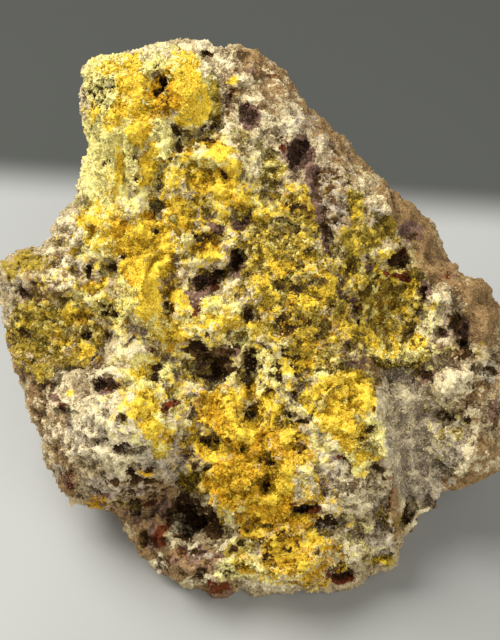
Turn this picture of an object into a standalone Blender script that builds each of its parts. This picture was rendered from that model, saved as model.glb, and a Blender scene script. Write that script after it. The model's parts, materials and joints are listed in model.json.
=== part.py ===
"""Parsonsite and pyromorphite specimen.

One lump of iron-stained matrix, broken off flat where it rests, and the yellow crusts of small
crystals that grew on its face. The face leans back, so it is laid out in a frame of its own:
across the face, up the face and out of it. Places on the face are given in points, across and
down a picture 500 wide and 640 high that looks straight at it. The real width of the specimen
sets what a point measures.
"""

import math

import bmesh
import bpy
import numpy as np
from mathutils import Vector, noise
from mathutils.bvhtree import BVHTree

MM = 0.001

# Driving dimensions
WIDTH = 90 * MM
FACE_LEAN = math.radians(40)
FACE_HEIGHT = 36.5 * MM
FRONT_DOME = 15 * MM
BACK_DOME = 46 * MM
CROWN_FORWARD = 6 * MM
LEAST_THICKNESS = 9 * MM
VIEWING_DISTANCE = 252 * MM

# The picture that the face is laid out on
PICTURE_CENTRE = (250, 320)
POINTS_WIDE = 514
POINT = WIDTH / POINTS_WIDE
MIDDLE = (262, 330)

# The outline of the face, clockwise from the top left corner
OUTLINE = (
    (88, 68), (100, 57), (125, 54), (138, 49), (162, 43), (196, 40), (215, 46), (232, 47),
    (250, 51), (268, 60), (283, 71), (290, 86), (302, 102), (320, 117), (340, 140), (360, 158),
    (375, 175), (390, 188), (402, 201), (415, 208), (424, 218), (432, 230), (440, 248),
    (452, 262), (466, 276), (480, 276), (488, 287), (491, 300), (502, 313), (510, 340),
    (513, 375), (512, 410), (508, 445), (500, 463), (478, 478), (462, 489), (447, 490),
    (439, 487), (438, 502), (435, 511), (419, 514), (412, 531), (402, 541), (394, 568),
    (370, 572), (345, 584), (300, 588), (262, 590), (245, 585), (238, 578), (228, 592),
    (214, 594), (201, 583), (185, 583), (168, 570), (150, 560), (141, 552), (134, 532),
    (126, 518), (110, 507), (98, 510), (80, 500), (63, 488), (63, 478), (50, 456), (46, 438),
    (34, 420), (27, 400), (25, 383), (13, 358), (9, 336), (1, 318), (-1, 290), (0, 268),
    (14, 253), (42, 247), (56, 239), (55, 225), (61, 216), (80, 205), (82, 182), (84, 165),
    (92, 144), (89, 130), (85, 105), (86, 82),
)

# Ovals of the face: middle across and down, reach across and down, turn in degrees
# anticlockwise, and height in millimetres
SWELLS = {
    "crown": (152, 100, 74, 62, 0, 3.0),
    "crown_brink": (194, 92, 22, 42, 0, 1.8),
    "crown_corner": (106, 74, 30, 24, 0, 2.4),
    "first_rib": (112, 172, 11, 62, 0, 1.5),
    "second_rib": (143, 190, 12, 62, 0, 1.4),
    "third_rib": (180, 200, 15, 46, 0, 1.3),
    "upper_bench": (226, 160, 46, 40, 0, 1.8),
    "left_shoulder": (92, 238, 46, 32, 20, 2.6),
    "ochre_brow": (40, 274, 44, 24, 0, 1.8),
    "wedge": (145, 288, 26, 38, -25, 4.0),
    "brow": (184, 320, 54, 26, 0, 3.6),
    "heart": (290, 312, 58, 56, 0, 2.6),
    "pillar": (276, 372, 21, 44, 0, 3.0),
    "block": (334, 432, 66, 104, 0, 5.4),
    "block_corner": (376, 436, 15, 76, 6, 1.6),
    "sponge": (236, 468, 58, 62, 0, 3.6),
    "foot": (290, 556, 76, 42, 0, 4.6),
    "left_bulge": (114, 430, 80, 66, 10, 9.0),
    "pale_lump": (128, 362, 26, 26, 0, 2.6),
    "cave_lip": (192, 572, 56, 28, 0, 5.6),
    "cave_boulder": (178, 525, 11, 9, 0, 3.5),
    "right_slope": (366, 206, 62, 62, -50, 2.4),
    "rind_lump": (482, 318, 20, 46, 0, 3.4),
    "pale_knob": (450, 384, 24, 20, 0, 3.2),
    "second_knob": (424, 372, 14, 14, 0, 1.8),
    "right_tooth": (452, 300, 24, 16, 0, 2.2),
    "brown_toe": (482, 458, 28, 24, 30, 2.4),
}

HOLLOWS = {
    "cave": (194, 520, 38, 23, -8, 13.0),
    "cave_chimney": (182, 498, 16, 11, 20, 5.0),
    "cave_side": (148, 536, 12, 16, 20, 3.6),
    "brow_cave": (204, 367, 32, 23, 0, 7.0),
    "crevice": (250, 376, 9, 34, 0, 5.6),
    "crevice_foot": (252, 417, 10, 15, 0, 4.0),
    "side_notch": (247, 316, 12, 11, 0, 3.8),
    "slit": (213, 275, 30, 12, 25, 4.8),
    "slit_end": (238, 256, 9, 16, 0, 3.6),
    "olive_hollow": (205, 246, 22, 15, 0, 2.0),
    "crown_hollow": (165, 90, 15, 20, 0, 4.0),
    "crown_crack": (102, 93, 22, 5, 0, 2.8),
    "under_crown": (192, 138, 30, 10, 0, 2.6),
    "upper_scar": (236, 182, 16, 14, 0, 2.2),
    "plum_hollow": (300, 154, 16, 23, 0, 3.2),
    "grey_scar": (245, 118, 16, 16, 0, 1.6),
    "right_hollow": (394, 312, 42, 52, 0, 5.0),
    "right_roof": (397, 261, 20, 9, 0, 3.6),
    "upper_right_dip": (396, 232, 28, 16, 30, 1.8),
    "dark_holes": (462, 333, 15, 20, 0, 4.4),
    "dark_hole_left": (441, 334, 10, 10, 0, 3.0),
    "under_knob": (442, 418, 34, 15, 0, 2.6),
    "ochre_hollow": (66, 338, 58, 34, 0, 4.2),
    "tip_notch": (26, 291, 16, 8, 0, 2.6),
    "plum_slit": (106, 387, 20, 8, 5, 3.0),
    "foot_cave": (342, 573, 19, 10, 0, 5.0),
    "rust_slit": (304, 507, 18, 8, 0, 2.8),
    "black_patch": (325, 522, 24, 12, 0, 2.0),
    "sponge_pit": (211, 444, 16, 12, 0, 3.0),
    "sponge_gap": (262, 482, 8, 12, 0, 2.2),
    "bulge_pit": (133, 471, 8, 7, 0, 3.0),
    "small_pit": (297, 448, 8, 9, 0, 2.4),
    "upper_pit": (138, 180, 9, 7, 0, 2.0),
    "high_pit": (140, 156, 11, 7, 0, 1.6),
    "dark_band": (256, 522, 20, 9, 0, 2.0),
    "ledge_dip": (336, 402, 20, 20, 0, 2.0),
}

# Grooves along the face: a line of points, half the width in points, the depth in millimetres
GROOVES = {
    "crease": (((310, 170), (326, 215), (338, 262), (346, 300), (360, 345)), 7, 2.0),
    "fissure": (((180, 128), (174, 152), (158, 188), (156, 216), (160, 236)), 5, 2.2),
    "wedge_shadow": (((152, 256), (168, 282), (168, 314)), 5, 1.8),
    "left_bed": (((62, 302), (96, 310), (122, 320)), 7, 1.6),
    "under_block": (((262, 436), (300, 428), (330, 412)), 5, 1.2),
    "lobe_root": (((46, 250), (70, 262), (84, 284)), 6, 1.4),
}

# Ledges: a line of points with the lower ground on its left, the drop in millimetres at the
# line's two ends, and how far the lower ground runs in points
LEDGES = {
    "block_edge": (((364, 350), (380, 398), (393, 450), (402, 500), (401, 566)), (3.0, 10.5), 62),
    "bulge_edge": (((182, 478), (150, 490), (104, 494), (58, 484)), (6.0, 2.5), 34),
    "hollow_edge": (((432, 352), (404, 364), (366, 362)), (2.4, 2.4), 28),
    "bench_edge": (((274, 216), (246, 206), (206, 214), (176, 206)), (1.6, 1.2), 26),
}

# Beds that run along the face: an oval as above with its height, and the beds' own direction
BEDS = {
    "ribs": (130, 190, 62, 92, 0, 0.9, -86),
    "slope": (352, 196, 72, 78, 0, 0.55, -48),
    "right_face": (415, 450, 40, 90, 0, 0.5, -70),
}

# Breaks at the back: the direction that each faces and its distance from the middle of the face
BREAKS = (
    ((0.0, 1.0, 0.0), 33 * MM),
    ((0.62, 0.78, -0.08), 40 * MM),
    ((-0.66, 0.74, 0.1), 41 * MM),
    ((0.12, 0.7, 0.7), 47 * MM),
    ((0.1, 0.72, -0.69), 38 * MM),
)

# Crusts: the ovals that each covers, and its greatest thickness in millimetres
CRUSTS = {
    "crown_crust": (((180, 92, 42, 42), (130, 92, 46, 42), (124, 150, 34, 50)), 2.0),
    "shoulder_crust": (((146, 242, 48, 38), (146, 292, 34, 48)), 2.2),
    "flank_crust": (((66, 334, 68, 40),), 1.4),
    "heart_crust": (((284, 282, 50, 58), (324, 338, 42, 38)), 1.5),
    "hollow_crust": (((396, 318, 44, 54),), 1.5),
    "ledge_crust": (((340, 398, 42, 38), (354, 434, 28, 40)), 1.8),
    "sponge_crust": (((228, 446, 50, 66), (278, 486, 50, 56)), 2.2),
    "foot_crust": (((290, 550, 58, 36),), 1.8),
}
CRUST_GAP = 0.45 * MM
CRUST_DRAW_IN = 0.45 * MM
CRUST_CLEARANCE = 1.2 * MM
CRUST_BRINK = 0.4
CRUST_SIDE = 0.42

VOXEL = 0.55 * MM
MATRIX_TRIANGLES = 7300

MATRIX_COLOUR = (0.34, 0.25, 0.16, 1)
CRUST_COLOUR = (0.72, 0.46, 0.02, 1)

FACE_OUT = Vector((0, -math.cos(FACE_LEAN), math.sin(FACE_LEAN)))


def clear_scene():
    for thing in list(bpy.data.objects):
        bpy.data.objects.remove(thing)


def make_material(name, colour, roughness):
    material = bpy.data.materials.new(name)
    material.use_nodes = True
    shader = material.node_tree.nodes["Principled BSDF"]
    shader.inputs["Base Color"].default_value = colour
    shader.inputs["Roughness"].default_value = roughness
    material.diffuse_color = colour
    return material


def smooth_step(low, high, value):
    t = np.clip((value - low) / (high - low), 0, 1)
    return t * t * (3 - 2 * t)


# Places on the face
def outline_reach(angles):
    """How far the outline lies from the middle of the face at each angle, in points."""
    across = np.array([x - MIDDLE[0] for x, _ in OUTLINE], float)
    up = np.array([MIDDLE[1] - y for _, y in OUTLINE], float)
    own = np.arctan2(up, across)
    order = np.argsort(own)
    return np.interp(angles, own[order], np.hypot(across, up)[order], period=2 * math.pi)


def crown_lean(y):
    """How far the face as a whole comes forward at a height: it stands steeper than its lean."""
    return CROWN_FORWARD * (PICTURE_CENTRE[1] - y).clip(0) / 280


def from_picture(x, y, out):
    """The place across, up and out of the face that stands at x, y in the picture."""
    nearer = POINT * (VIEWING_DISTANCE - out) / VIEWING_DISTANCE
    return np.column_stack(
        [(x - PICTURE_CENTRE[0]) * nearer, (PICTURE_CENTRE[1] - y) * nearer, out]
    )


def to_world(places):
    across, up, out = places.T
    sin, cos = math.sin(FACE_LEAN), math.cos(FACE_LEAN)
    return np.column_stack([across, up * sin - out * cos, up * cos + out * sin + FACE_HEIGHT])


def picture_of(points):
    """Where points of the world stand in the picture."""
    sin, cos = math.sin(FACE_LEAN), math.cos(FACE_LEAN)
    across, y, z = points.T
    z = z - FACE_HEIGHT
    nearer = VIEWING_DISTANCE / (VIEWING_DISTANCE - (z * sin - y * cos)) / POINT
    return PICTURE_CENTRE[0] + across * nearer, PICTURE_CENTRE[1] - (y * sin + z * cos) * nearer


def oval(x, y, middle_x, middle_y, reach_x, reach_y, turn=0):
    """0 in the middle of an oval, 1 on its line and more beyond it."""
    cos, sin = math.cos(math.radians(turn)), math.sin(math.radians(turn))
    right, down = x - middle_x, y - middle_y
    return np.hypot((right * cos - down * sin) / reach_x, (right * sin + down * cos) / reach_y)


def from_line(x, y, line):
    """Distance from a line of points, the side of it, and how far along it each place is."""
    away = np.full(x.shape, np.inf)
    side = np.zeros(x.shape)
    along = np.zeros(x.shape)
    for index, ((x0, y0), (x1, y1)) in enumerate(zip(line, line[1:])):
        length = math.hypot(x1 - x0, y1 - y0)
        dx, dy = (x1 - x0) / length, (y1 - y0) / length
        run = np.clip((x - x0) * dx + (y - y0) * dy, 0, length)
        distance = np.hypot(x - x0 - run * dx, y - y0 - run * dy)
        nearer = distance < away
        away = np.where(nearer, distance, away)
        side = np.where(nearer, np.sign(dy * (x - x0) - dx * (y - y0)), side)
        along = np.where(nearer, (index + run / length) / (len(line) - 1), along)
    return away, side, along


def rough(places, size, octaves=2):
    """Lumps of about this size, from -1 to 1, the same at each run."""
    return np.array([noise.fractal(Vector(p) / size, 0.6, 2.0, octaves) for p in places])


# The matrix
def face_relief(x, y):
    """How far the face stands out of its dome, in millimetres."""
    relief = np.zeros(x.shape)
    for *shape, height in SWELLS.values():
        relief += height * np.clip(1 - oval(x, y, *shape) ** 2, 0, 1) ** 0.9
    for *shape, depth in HOLLOWS.values():
        relief -= depth * (1 - smooth_step(0.35, 1.05, oval(x, y, *shape)))
    for line, half_width, depth in GROOVES.values():
        relief -= depth * np.exp(-((from_line(x, y, line)[0] / half_width) ** 2))
    for line, (first, last), run in LEDGES.values():
        away, side, along = from_line(x, y, line)
        lower = smooth_step(-2, 4, away * side)
        fade = 1 - smooth_step(0.5 * run, 1.25 * run, away)
        relief -= (first + (last - first) * along) * lower * fade
    return relief


def bed_relief(x, y):
    """Long low ribs along the beds, in millimetres."""
    relief = np.zeros(x.shape)
    for *shape, height, direction in BEDS.values():
        cos, sin = math.cos(math.radians(direction)), math.sin(math.radians(direction))
        along, over = x * cos - y * sin, x * sin + y * cos
        ribs = rough(np.column_stack([along / 60, over / 11, 0 * x]), 1)
        relief += height * 1.6 * ribs * (1 - smooth_step(0.6, 1.1, oval(x, y, *shape)))
    return relief


def back_depth(x, y, rise):
    """How far behind the face's rim the back lies: a dome, broken off along flat breaks."""
    depth = BACK_DOME * np.abs(rise) ** 0.55
    rim = to_world(from_picture(x, y, crown_lean(y))) - np.array([0, 0, FACE_HEIGHT])
    for facing, distance in BREAKS:
        facing = np.array(facing) / np.linalg.norm(facing)
        room = (distance - rim @ facing) / -(facing @ np.array(FACE_OUT))
        least = LEAST_THICKNESS * smooth_step(0, 0.6, np.abs(rise))
        depth = np.minimum(depth, np.maximum(room, least))
    return depth


def shape_ball(ball):
    """Draws a ball out to the outline, the face's relief and the back."""
    points = np.array([vertex.co[:] for vertex in ball.verts])
    rise = points[:, 2]
    spread = np.hypot(points[:, 0], points[:, 1])
    angle = np.arctan2(points[:, 1], points[:, 0])
    reach = outline_reach(angle) * spread
    x = MIDDLE[0] + reach * np.cos(angle)
    y = MIDDLE[1] - reach * np.sin(angle)
    relief = face_relief(x, y) + bed_relief(x, y)
    front = FRONT_DOME * np.abs(rise) ** 0.75 + relief * smooth_step(0.03, 0.4, rise) * MM
    places = from_picture(x, y, crown_lean(y) + front * (rise > 0))
    places[:, 2] -= back_depth(x, y, rise) * (rise <= 0)
    set_points(ball, to_world(places))
    return x, y, rise


def set_points(mesh, points):
    for vertex, point in zip(mesh.verts, points):
        vertex.co = point
    mesh.normal_update()


def roughen(ball, x, y, rise):
    """Lumps of three sizes: broad ones at the back, small ones on the face, few under crusts."""
    points = np.array([vertex.co[:] for vertex in ball.verts])
    normals = np.array([vertex.normal[:] for vertex in ball.verts])
    face = smooth_step(-0.2, 0.25, rise)
    bare = np.min([crust_reach(x, y, ovals) for ovals, _ in CRUSTS.values()], axis=0)
    bare = 1 - face * (1 - smooth_step(0.75, 1.1, bare)) * 0.7
    height = rough(points, 24 * MM) * 1.6 * (1 - face)
    height += rough(points, 7 * MM) * (0.5 + 0.8 * face) * bare
    height += (0.4 - np.abs(rough(points + 0.1, 4.2 * MM))) * (0.4 + 1.9 * face) * bare
    set_points(ball, points + normals * height[:, None] * MM)


def to_object(mesh, name, material, collection):
    data = bpy.data.meshes.new(name)
    mesh.to_mesh(data)
    mesh.free()
    data.materials.append(material)
    thing = bpy.data.objects.new(name, data)
    collection.objects.link(thing)
    return thing


def apply_modifier(thing, kind, settings):
    """Adds a modifier and keeps its result as the object's own mesh."""
    modifier = thing.modifiers.new(kind.title(), kind)
    for name, value in settings.items():
        setattr(modifier, name, value)
    graph = bpy.context.evaluated_depsgraph_get()
    mesh = bmesh.new()
    mesh.from_object(thing, graph)
    thing.modifiers.remove(modifier)
    mesh.to_mesh(thing.data)
    mesh.free()


def sheets_of(faces):
    """The faces, in groups that hang together by their edges."""
    waiting = set(faces)
    while waiting:
        sheet = set()
        front = [waiting.pop()]
        while front:
            face = front.pop()
            sheet.add(face)
            beside = {other for edge in face.edges for other in edge.link_faces} & waiting
            waiting -= beside
            front += beside
        yield sheet


def keep_only(mesh, faces):
    others = [face for face in mesh.faces if face not in faces]
    bmesh.ops.delete(mesh, geom=others, context="FACES")


def drop_crumbs(thing):
    """Leaves the one surface that holds the body, without specks shut off inside it."""
    mesh = bmesh.new()
    mesh.from_mesh(thing.data)
    keep_only(mesh, max(sheets_of(mesh.faces), key=len))
    mesh.to_mesh(thing.data)
    mesh.free()


def cut_flat(mesh):
    """Breaks the underside off level, where the specimen rests."""
    everything = mesh.verts[:] + mesh.edges[:] + mesh.faces[:]
    bmesh.ops.bisect_plane(
        mesh, geom=everything, dist=0.05 * MM, plane_no=(0, 0, 1), clear_inner=True
    )
    bmesh.ops.holes_fill(mesh, edges=[edge for edge in mesh.edges if edge.is_boundary])
    bmesh.ops.triangulate(mesh, faces=mesh.faces[:])
    bmesh.ops.recalc_face_normals(mesh, faces=mesh.faces[:])


def build_matrix(collection):
    ball = bmesh.new()
    bmesh.ops.create_icosphere(ball, subdivisions=7, radius=1)
    roughen(ball, *shape_ball(ball))
    matrix = to_object(ball, "matrix", make_material("matrix", MATRIX_COLOUR, 0.9), collection)
    apply_modifier(matrix, "REMESH", {"mode": "VOXEL", "voxel_size": VOXEL})
    drop_crumbs(matrix)
    triangles = sum(len(face.vertices) - 2 for face in matrix.data.polygons)
    apply_modifier(matrix, "DECIMATE", {"ratio": MATRIX_TRIANGLES / triangles})
    mesh = bmesh.new()
    mesh.from_mesh(matrix.data)
    cut_flat(mesh)
    mesh.to_mesh(matrix.data)
    mesh.free()
    return matrix


# The crusts
def crust_reach(x, y, ovals):
    return np.min([oval(x, y, *shape) for shape in ovals], axis=0)


def smooth_brink(sheet, allowed):
    """Fills the sheet's notches and drops its teeth, and every place where it touches itself."""
    for _ in range(4):
        for face in sorted(allowed - sheet, key=lambda face: face.index):
            near = sum(other in sheet for edge in face.edges for other in edge.link_faces)
            if near >= 2:
                sheet.add(face)
    teeth = True
    while teeth:
        teeth = set()
        for face in sheet:
            beside = {other for edge in face.edges for other in edge.link_faces}
            if len(beside & sheet) < 3:
                teeth.add(face)
            if any(brink_edges(vertex, sheet) > 2 for vertex in face.verts):
                teeth.add(face)
        sheet -= teeth


def brink_edges(vertex, sheet):
    return sum(
        sum(face in sheet for face in edge.link_faces) == 1 for edge in vertex.link_edges
    )


def open_vertices(mesh, tree, direction):
    """The vertices with nothing of the matrix above them on the crust's way out."""
    return {
        vertex for vertex in mesh.verts
        if tree.ray_cast(vertex.co + direction * 0.1 * MM, direction, 5 * MM)[0] is None
    }


def draw_in_brink(mesh, tree, direction):
    """Draws the sheet's rim in a little over the ground, clear of what rises beside it."""
    places = {}
    for vertex in mesh.verts:
        if vertex.is_boundary:
            inside = sum((face.calc_center_median() for face in vertex.link_faces), Vector())
            inside = inside / len(vertex.link_faces) - vertex.co
            inside -= direction * inside.dot(direction)
            move = inside.normalized() * min(CRUST_DRAW_IN, 0.5 * inside.length)
            above = vertex.co + move + direction * 4 * MM
            places[vertex] = tree.ray_cast(above, -direction)[0]
    for vertex, place in places.items():
        vertex.co = place


def crust_ground(matrix, ovals, closed):
    """The matrix's own faces under a crust, in one sheet, and the direction that they face."""
    mesh = bmesh.new()
    mesh.from_mesh(matrix.data)
    mesh.normal_update()
    centres = np.array([face.calc_center_median()[:] for face in mesh.faces])
    ragged = crust_reach(*picture_of(centres), ovals) + 0.2 * rough(centres, 5 * MM)
    patch = [
        face for face, reach in zip(mesh.faces, ragged)
        if reach < 1 and face.normal.dot(FACE_OUT) > 0.2
    ]
    direction = sum((face.normal * face.calc_area() for face in patch), Vector()).normalized()
    tree = BVHTree.FromBMesh(mesh)
    free = {v for v in open_vertices(mesh, tree, direction) if v.index not in closed}
    allowed = {
        face for face in mesh.faces
        if face.normal.dot(direction) > CRUST_SIDE and free.issuperset(face.verts)
    }
    sheet = max(sheets_of(allowed & set(patch)), key=len)
    smooth_brink(sheet, allowed)
    sheet = max(sheets_of(sheet), key=len)
    ground = {vertex.index for face in sheet for vertex in face.verts}
    keep_only(mesh, sheet)
    draw_in_brink(mesh, tree, direction)
    return mesh, direction, ground


def raise_crust(mesh, direction, ovals, thickest):
    """Gives the sheet its thickness: lumpy on top and thin at its brink."""
    points = np.array([vertex.co[:] for vertex in mesh.verts])
    inner = 1 - smooth_step(0.35, 1.0, crust_reach(*picture_of(points), ovals))
    lumps = np.clip(0.85 + 0.8 * rough(points, 3.2 * MM), 0.5, 1.3)
    thickness = thickest * MM * (CRUST_BRINK + (1 - CRUST_BRINK) * inner) * lumps
    layer = mesh.verts.layers.float.new("thickness")
    for vertex, depth in zip(mesh.verts, thickness):
        vertex[layer] = depth
        vertex.co += direction * CRUST_GAP
    raised = bmesh.ops.extrude_face_region(mesh, geom=mesh.faces[:])["geom"]
    for item in raised:
        if isinstance(item, bmesh.types.BMVert):
            item.co += direction * item[layer]
    bmesh.ops.triangulate(mesh, faces=mesh.faces[:])
    bmesh.ops.recalc_face_normals(mesh, faces=mesh.faces[:])


def vertices_near(mesh, matrix):
    """The matrix's vertices around each place where the crust would run into the matrix."""
    tree = BVHTree.FromPolygons(
        [vertex.co for vertex in matrix.data.vertices],
        [face.vertices for face in matrix.data.polygons],
    )
    mesh.faces.ensure_lookup_table()
    near = set()
    for index in {index for index, _ in BVHTree.FromBMesh(mesh).overlap(tree)}:
        for _, _, face, _ in tree.find_nearest_range(
            mesh.faces[index].calc_center_median(), CRUST_CLEARANCE
        ):
            near |= set(matrix.data.polygons[face].vertices)
    return near


def build_crust(name, ovals, thickest, matrix, taken, collection):
    """A crust that follows the matrix under it and leaves out what it would run into."""
    met = set()
    while True:
        mesh, direction, ground = crust_ground(matrix, ovals, taken | met)
        raise_crust(mesh, direction, ovals, thickest)
        near = vertices_near(mesh, matrix) - met
        if not near:
            break
        met |= near
        mesh.free()
    taken |= ground
    return to_object(mesh, name, make_material(name, CRUST_COLOUR, 0.6), collection)


def centre_on_origin(things):
    """Puts the middle of the specimen's footprint on the origin."""
    points = np.array([vertex.co[:] for thing in things for vertex in thing.data.vertices])
    middle = (points.min(axis=0) + points.max(axis=0)) / 2
    for thing in things:
        for vertex in thing.data.vertices:
            vertex.co.x -= middle[0]
            vertex.co.y -= middle[1]


def main():
    clear_scene()
    collection = bpy.data.collections.new("parsonsite_and_pyromorphite_specimen")
    bpy.context.scene.collection.children.link(collection)
    matrix = build_matrix(collection)
    taken = set()
    crusts = [
        build_crust(name, ovals, thickest, matrix, taken, collection)
        for name, (ovals, thickest) in CRUSTS.items()
    ]
    centre_on_origin([matrix, *crusts])


main()
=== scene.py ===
"""Dresses the specimen: rough weathered rock, granular yellow crusts, loose grain, floor, light
and camera."""

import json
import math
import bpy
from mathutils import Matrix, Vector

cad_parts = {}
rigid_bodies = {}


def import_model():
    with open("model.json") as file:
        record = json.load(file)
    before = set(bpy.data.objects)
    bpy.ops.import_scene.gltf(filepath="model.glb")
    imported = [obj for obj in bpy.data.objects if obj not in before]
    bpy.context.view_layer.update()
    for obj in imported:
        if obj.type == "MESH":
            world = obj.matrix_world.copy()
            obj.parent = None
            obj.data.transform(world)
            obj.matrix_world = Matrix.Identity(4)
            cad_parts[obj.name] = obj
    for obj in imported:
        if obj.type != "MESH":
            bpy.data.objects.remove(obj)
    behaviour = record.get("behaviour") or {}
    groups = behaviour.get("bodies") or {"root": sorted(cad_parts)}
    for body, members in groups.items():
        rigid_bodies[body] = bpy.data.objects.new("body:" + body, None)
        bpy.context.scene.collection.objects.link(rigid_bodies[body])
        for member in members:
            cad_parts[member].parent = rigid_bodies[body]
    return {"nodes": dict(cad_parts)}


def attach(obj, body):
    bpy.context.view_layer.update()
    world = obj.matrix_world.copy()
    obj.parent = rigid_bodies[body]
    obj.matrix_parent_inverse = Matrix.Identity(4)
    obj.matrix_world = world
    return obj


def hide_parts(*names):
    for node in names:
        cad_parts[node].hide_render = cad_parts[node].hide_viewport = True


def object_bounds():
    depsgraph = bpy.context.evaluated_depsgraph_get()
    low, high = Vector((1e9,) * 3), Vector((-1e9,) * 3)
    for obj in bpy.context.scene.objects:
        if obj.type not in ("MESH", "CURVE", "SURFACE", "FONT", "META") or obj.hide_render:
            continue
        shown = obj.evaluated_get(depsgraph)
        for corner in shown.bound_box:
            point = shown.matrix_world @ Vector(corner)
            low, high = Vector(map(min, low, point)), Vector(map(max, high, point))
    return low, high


bl_info = {
    "name": "Yellow crusted rock specimen",
    "version": (1, 0, 0),
    "blender": (4, 5, 0),
    "location": "View3D > Sidebar > Specimen",
    "description": "Gives the specimen's rock and crusts their relief, grain and mineral colours",
    "category": "Add Mesh",
}

from collections import namedtuple

import bpy
import numpy as np
from bpy.props import FloatProperty, FloatVectorProperty, IntProperty, PointerProperty
from mathutils import Vector
from mathutils.bvhtree import BVHTree

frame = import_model()
CAD_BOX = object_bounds()

MM = 0.001
# How far a piece may stand out of the CAD box
BOX_EDGE = 0.8 * MM

# The view that the forms and colours are placed in: its middle and scale in points, how the
# face leans, and where its middle stands in the model
VIEW_MIDDLE = (250, 320)
POINT = 90 * MM / 514
VIEW_DISTANCE = 252 * MM
FACE_LEAN = math.radians(40)
FACE_MIDDLE = Vector((-0.926, 1.531, 36.5)) * MM
FACE_OUT = np.array((0, -math.cos(FACE_LEAN), math.sin(FACE_LEAN)))
FACE_UP = np.array((0, math.sin(FACE_LEAN), math.cos(FACE_LEAN)))

# The crusts, and the least that each mineral, and the painted shade of their creases, is laid on over
# the whole of each
CRUSTS = {
    "crown_crust": {"lemon": 0.9, "ochre": 0.15, "yellow": 0.2, "painted_shade": 0.08},
    "shoulder_crust": {"lemon": 0.75, "ochre": 0.35, "yellow": 0.3, "painted_shade": 0.1},
    "flank_crust": {"olive": 0.8, "lemon": 0.25, "ochre": 0.15, "yellow": 0.3, "painted_shade": 0.2},
    "heart_crust": {"olive": 0.85, "lemon": 0.15, "ochre": 0.22, "yellow": 0.22, "painted_shade": 0.25},
    "hollow_crust": {"olive": 0.8, "ochre": 0.25, "yellow": 0.15, "painted_shade": 0.22},
    "ledge_crust": {"lemon": 0.85, "ochre": 0.4, "yellow": 0.36, "painted_shade": 0.12},
    "sponge_crust": {"olive": 0.4, "lemon": 0.5, "ochre": 0.8, "yellow": 0.4, "painted_shade": 0.15},
    "foot_crust": {"lemon": 0.45, "ochre": 0.6, "yellow": 0.4, "painted_shade": 0.15},
}

# Each mineral's name, what it is, and its light and deep tones from 0 to 255 as the eye sees them; the
# light tone serves as a painted highlight on tips and the deep tone as painted shade in hollows, besides
# varying at random
TONES = {
    "rock": ("Rock", "bare rock", (206, 186, 142), (122, 98, 68)),
    "tan": ("Tan", "brown rind", (172, 140, 94), (114, 86, 56)),
    "grey": ("Grey", "grey rock", (206, 192, 164), (144, 126, 100)),
    "pale": ("Cream", "cream coating", (244, 230, 188), (188, 166, 118)),
    "olive": ("Olive", "olive film", (186, 160, 60), (106, 82, 22)),
    "lemon": ("Lemon", "pale yellow film", (252, 243, 162), (222, 204, 114)),
    "ochre": ("Ochre", "orange-yellow crust", (232, 180, 40), (160, 114, 16)),
    "yellow": ("Yellow", "yellow crust", (254, 224, 80), (214, 168, 26)),
    "plum": ("Plum", "purple-brown rock", (146, 114, 96), (84, 60, 48)),
    "rust": ("Rust", "rust", (124, 60, 28), (32, 14, 7)),
    # Tones of the painted shade in holes, caves, creases and under overhangs
    "painted_shade": ("Dark", "painted shade in holes and creases", (112, 82, 42), (44, 28, 14)),
}
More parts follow.
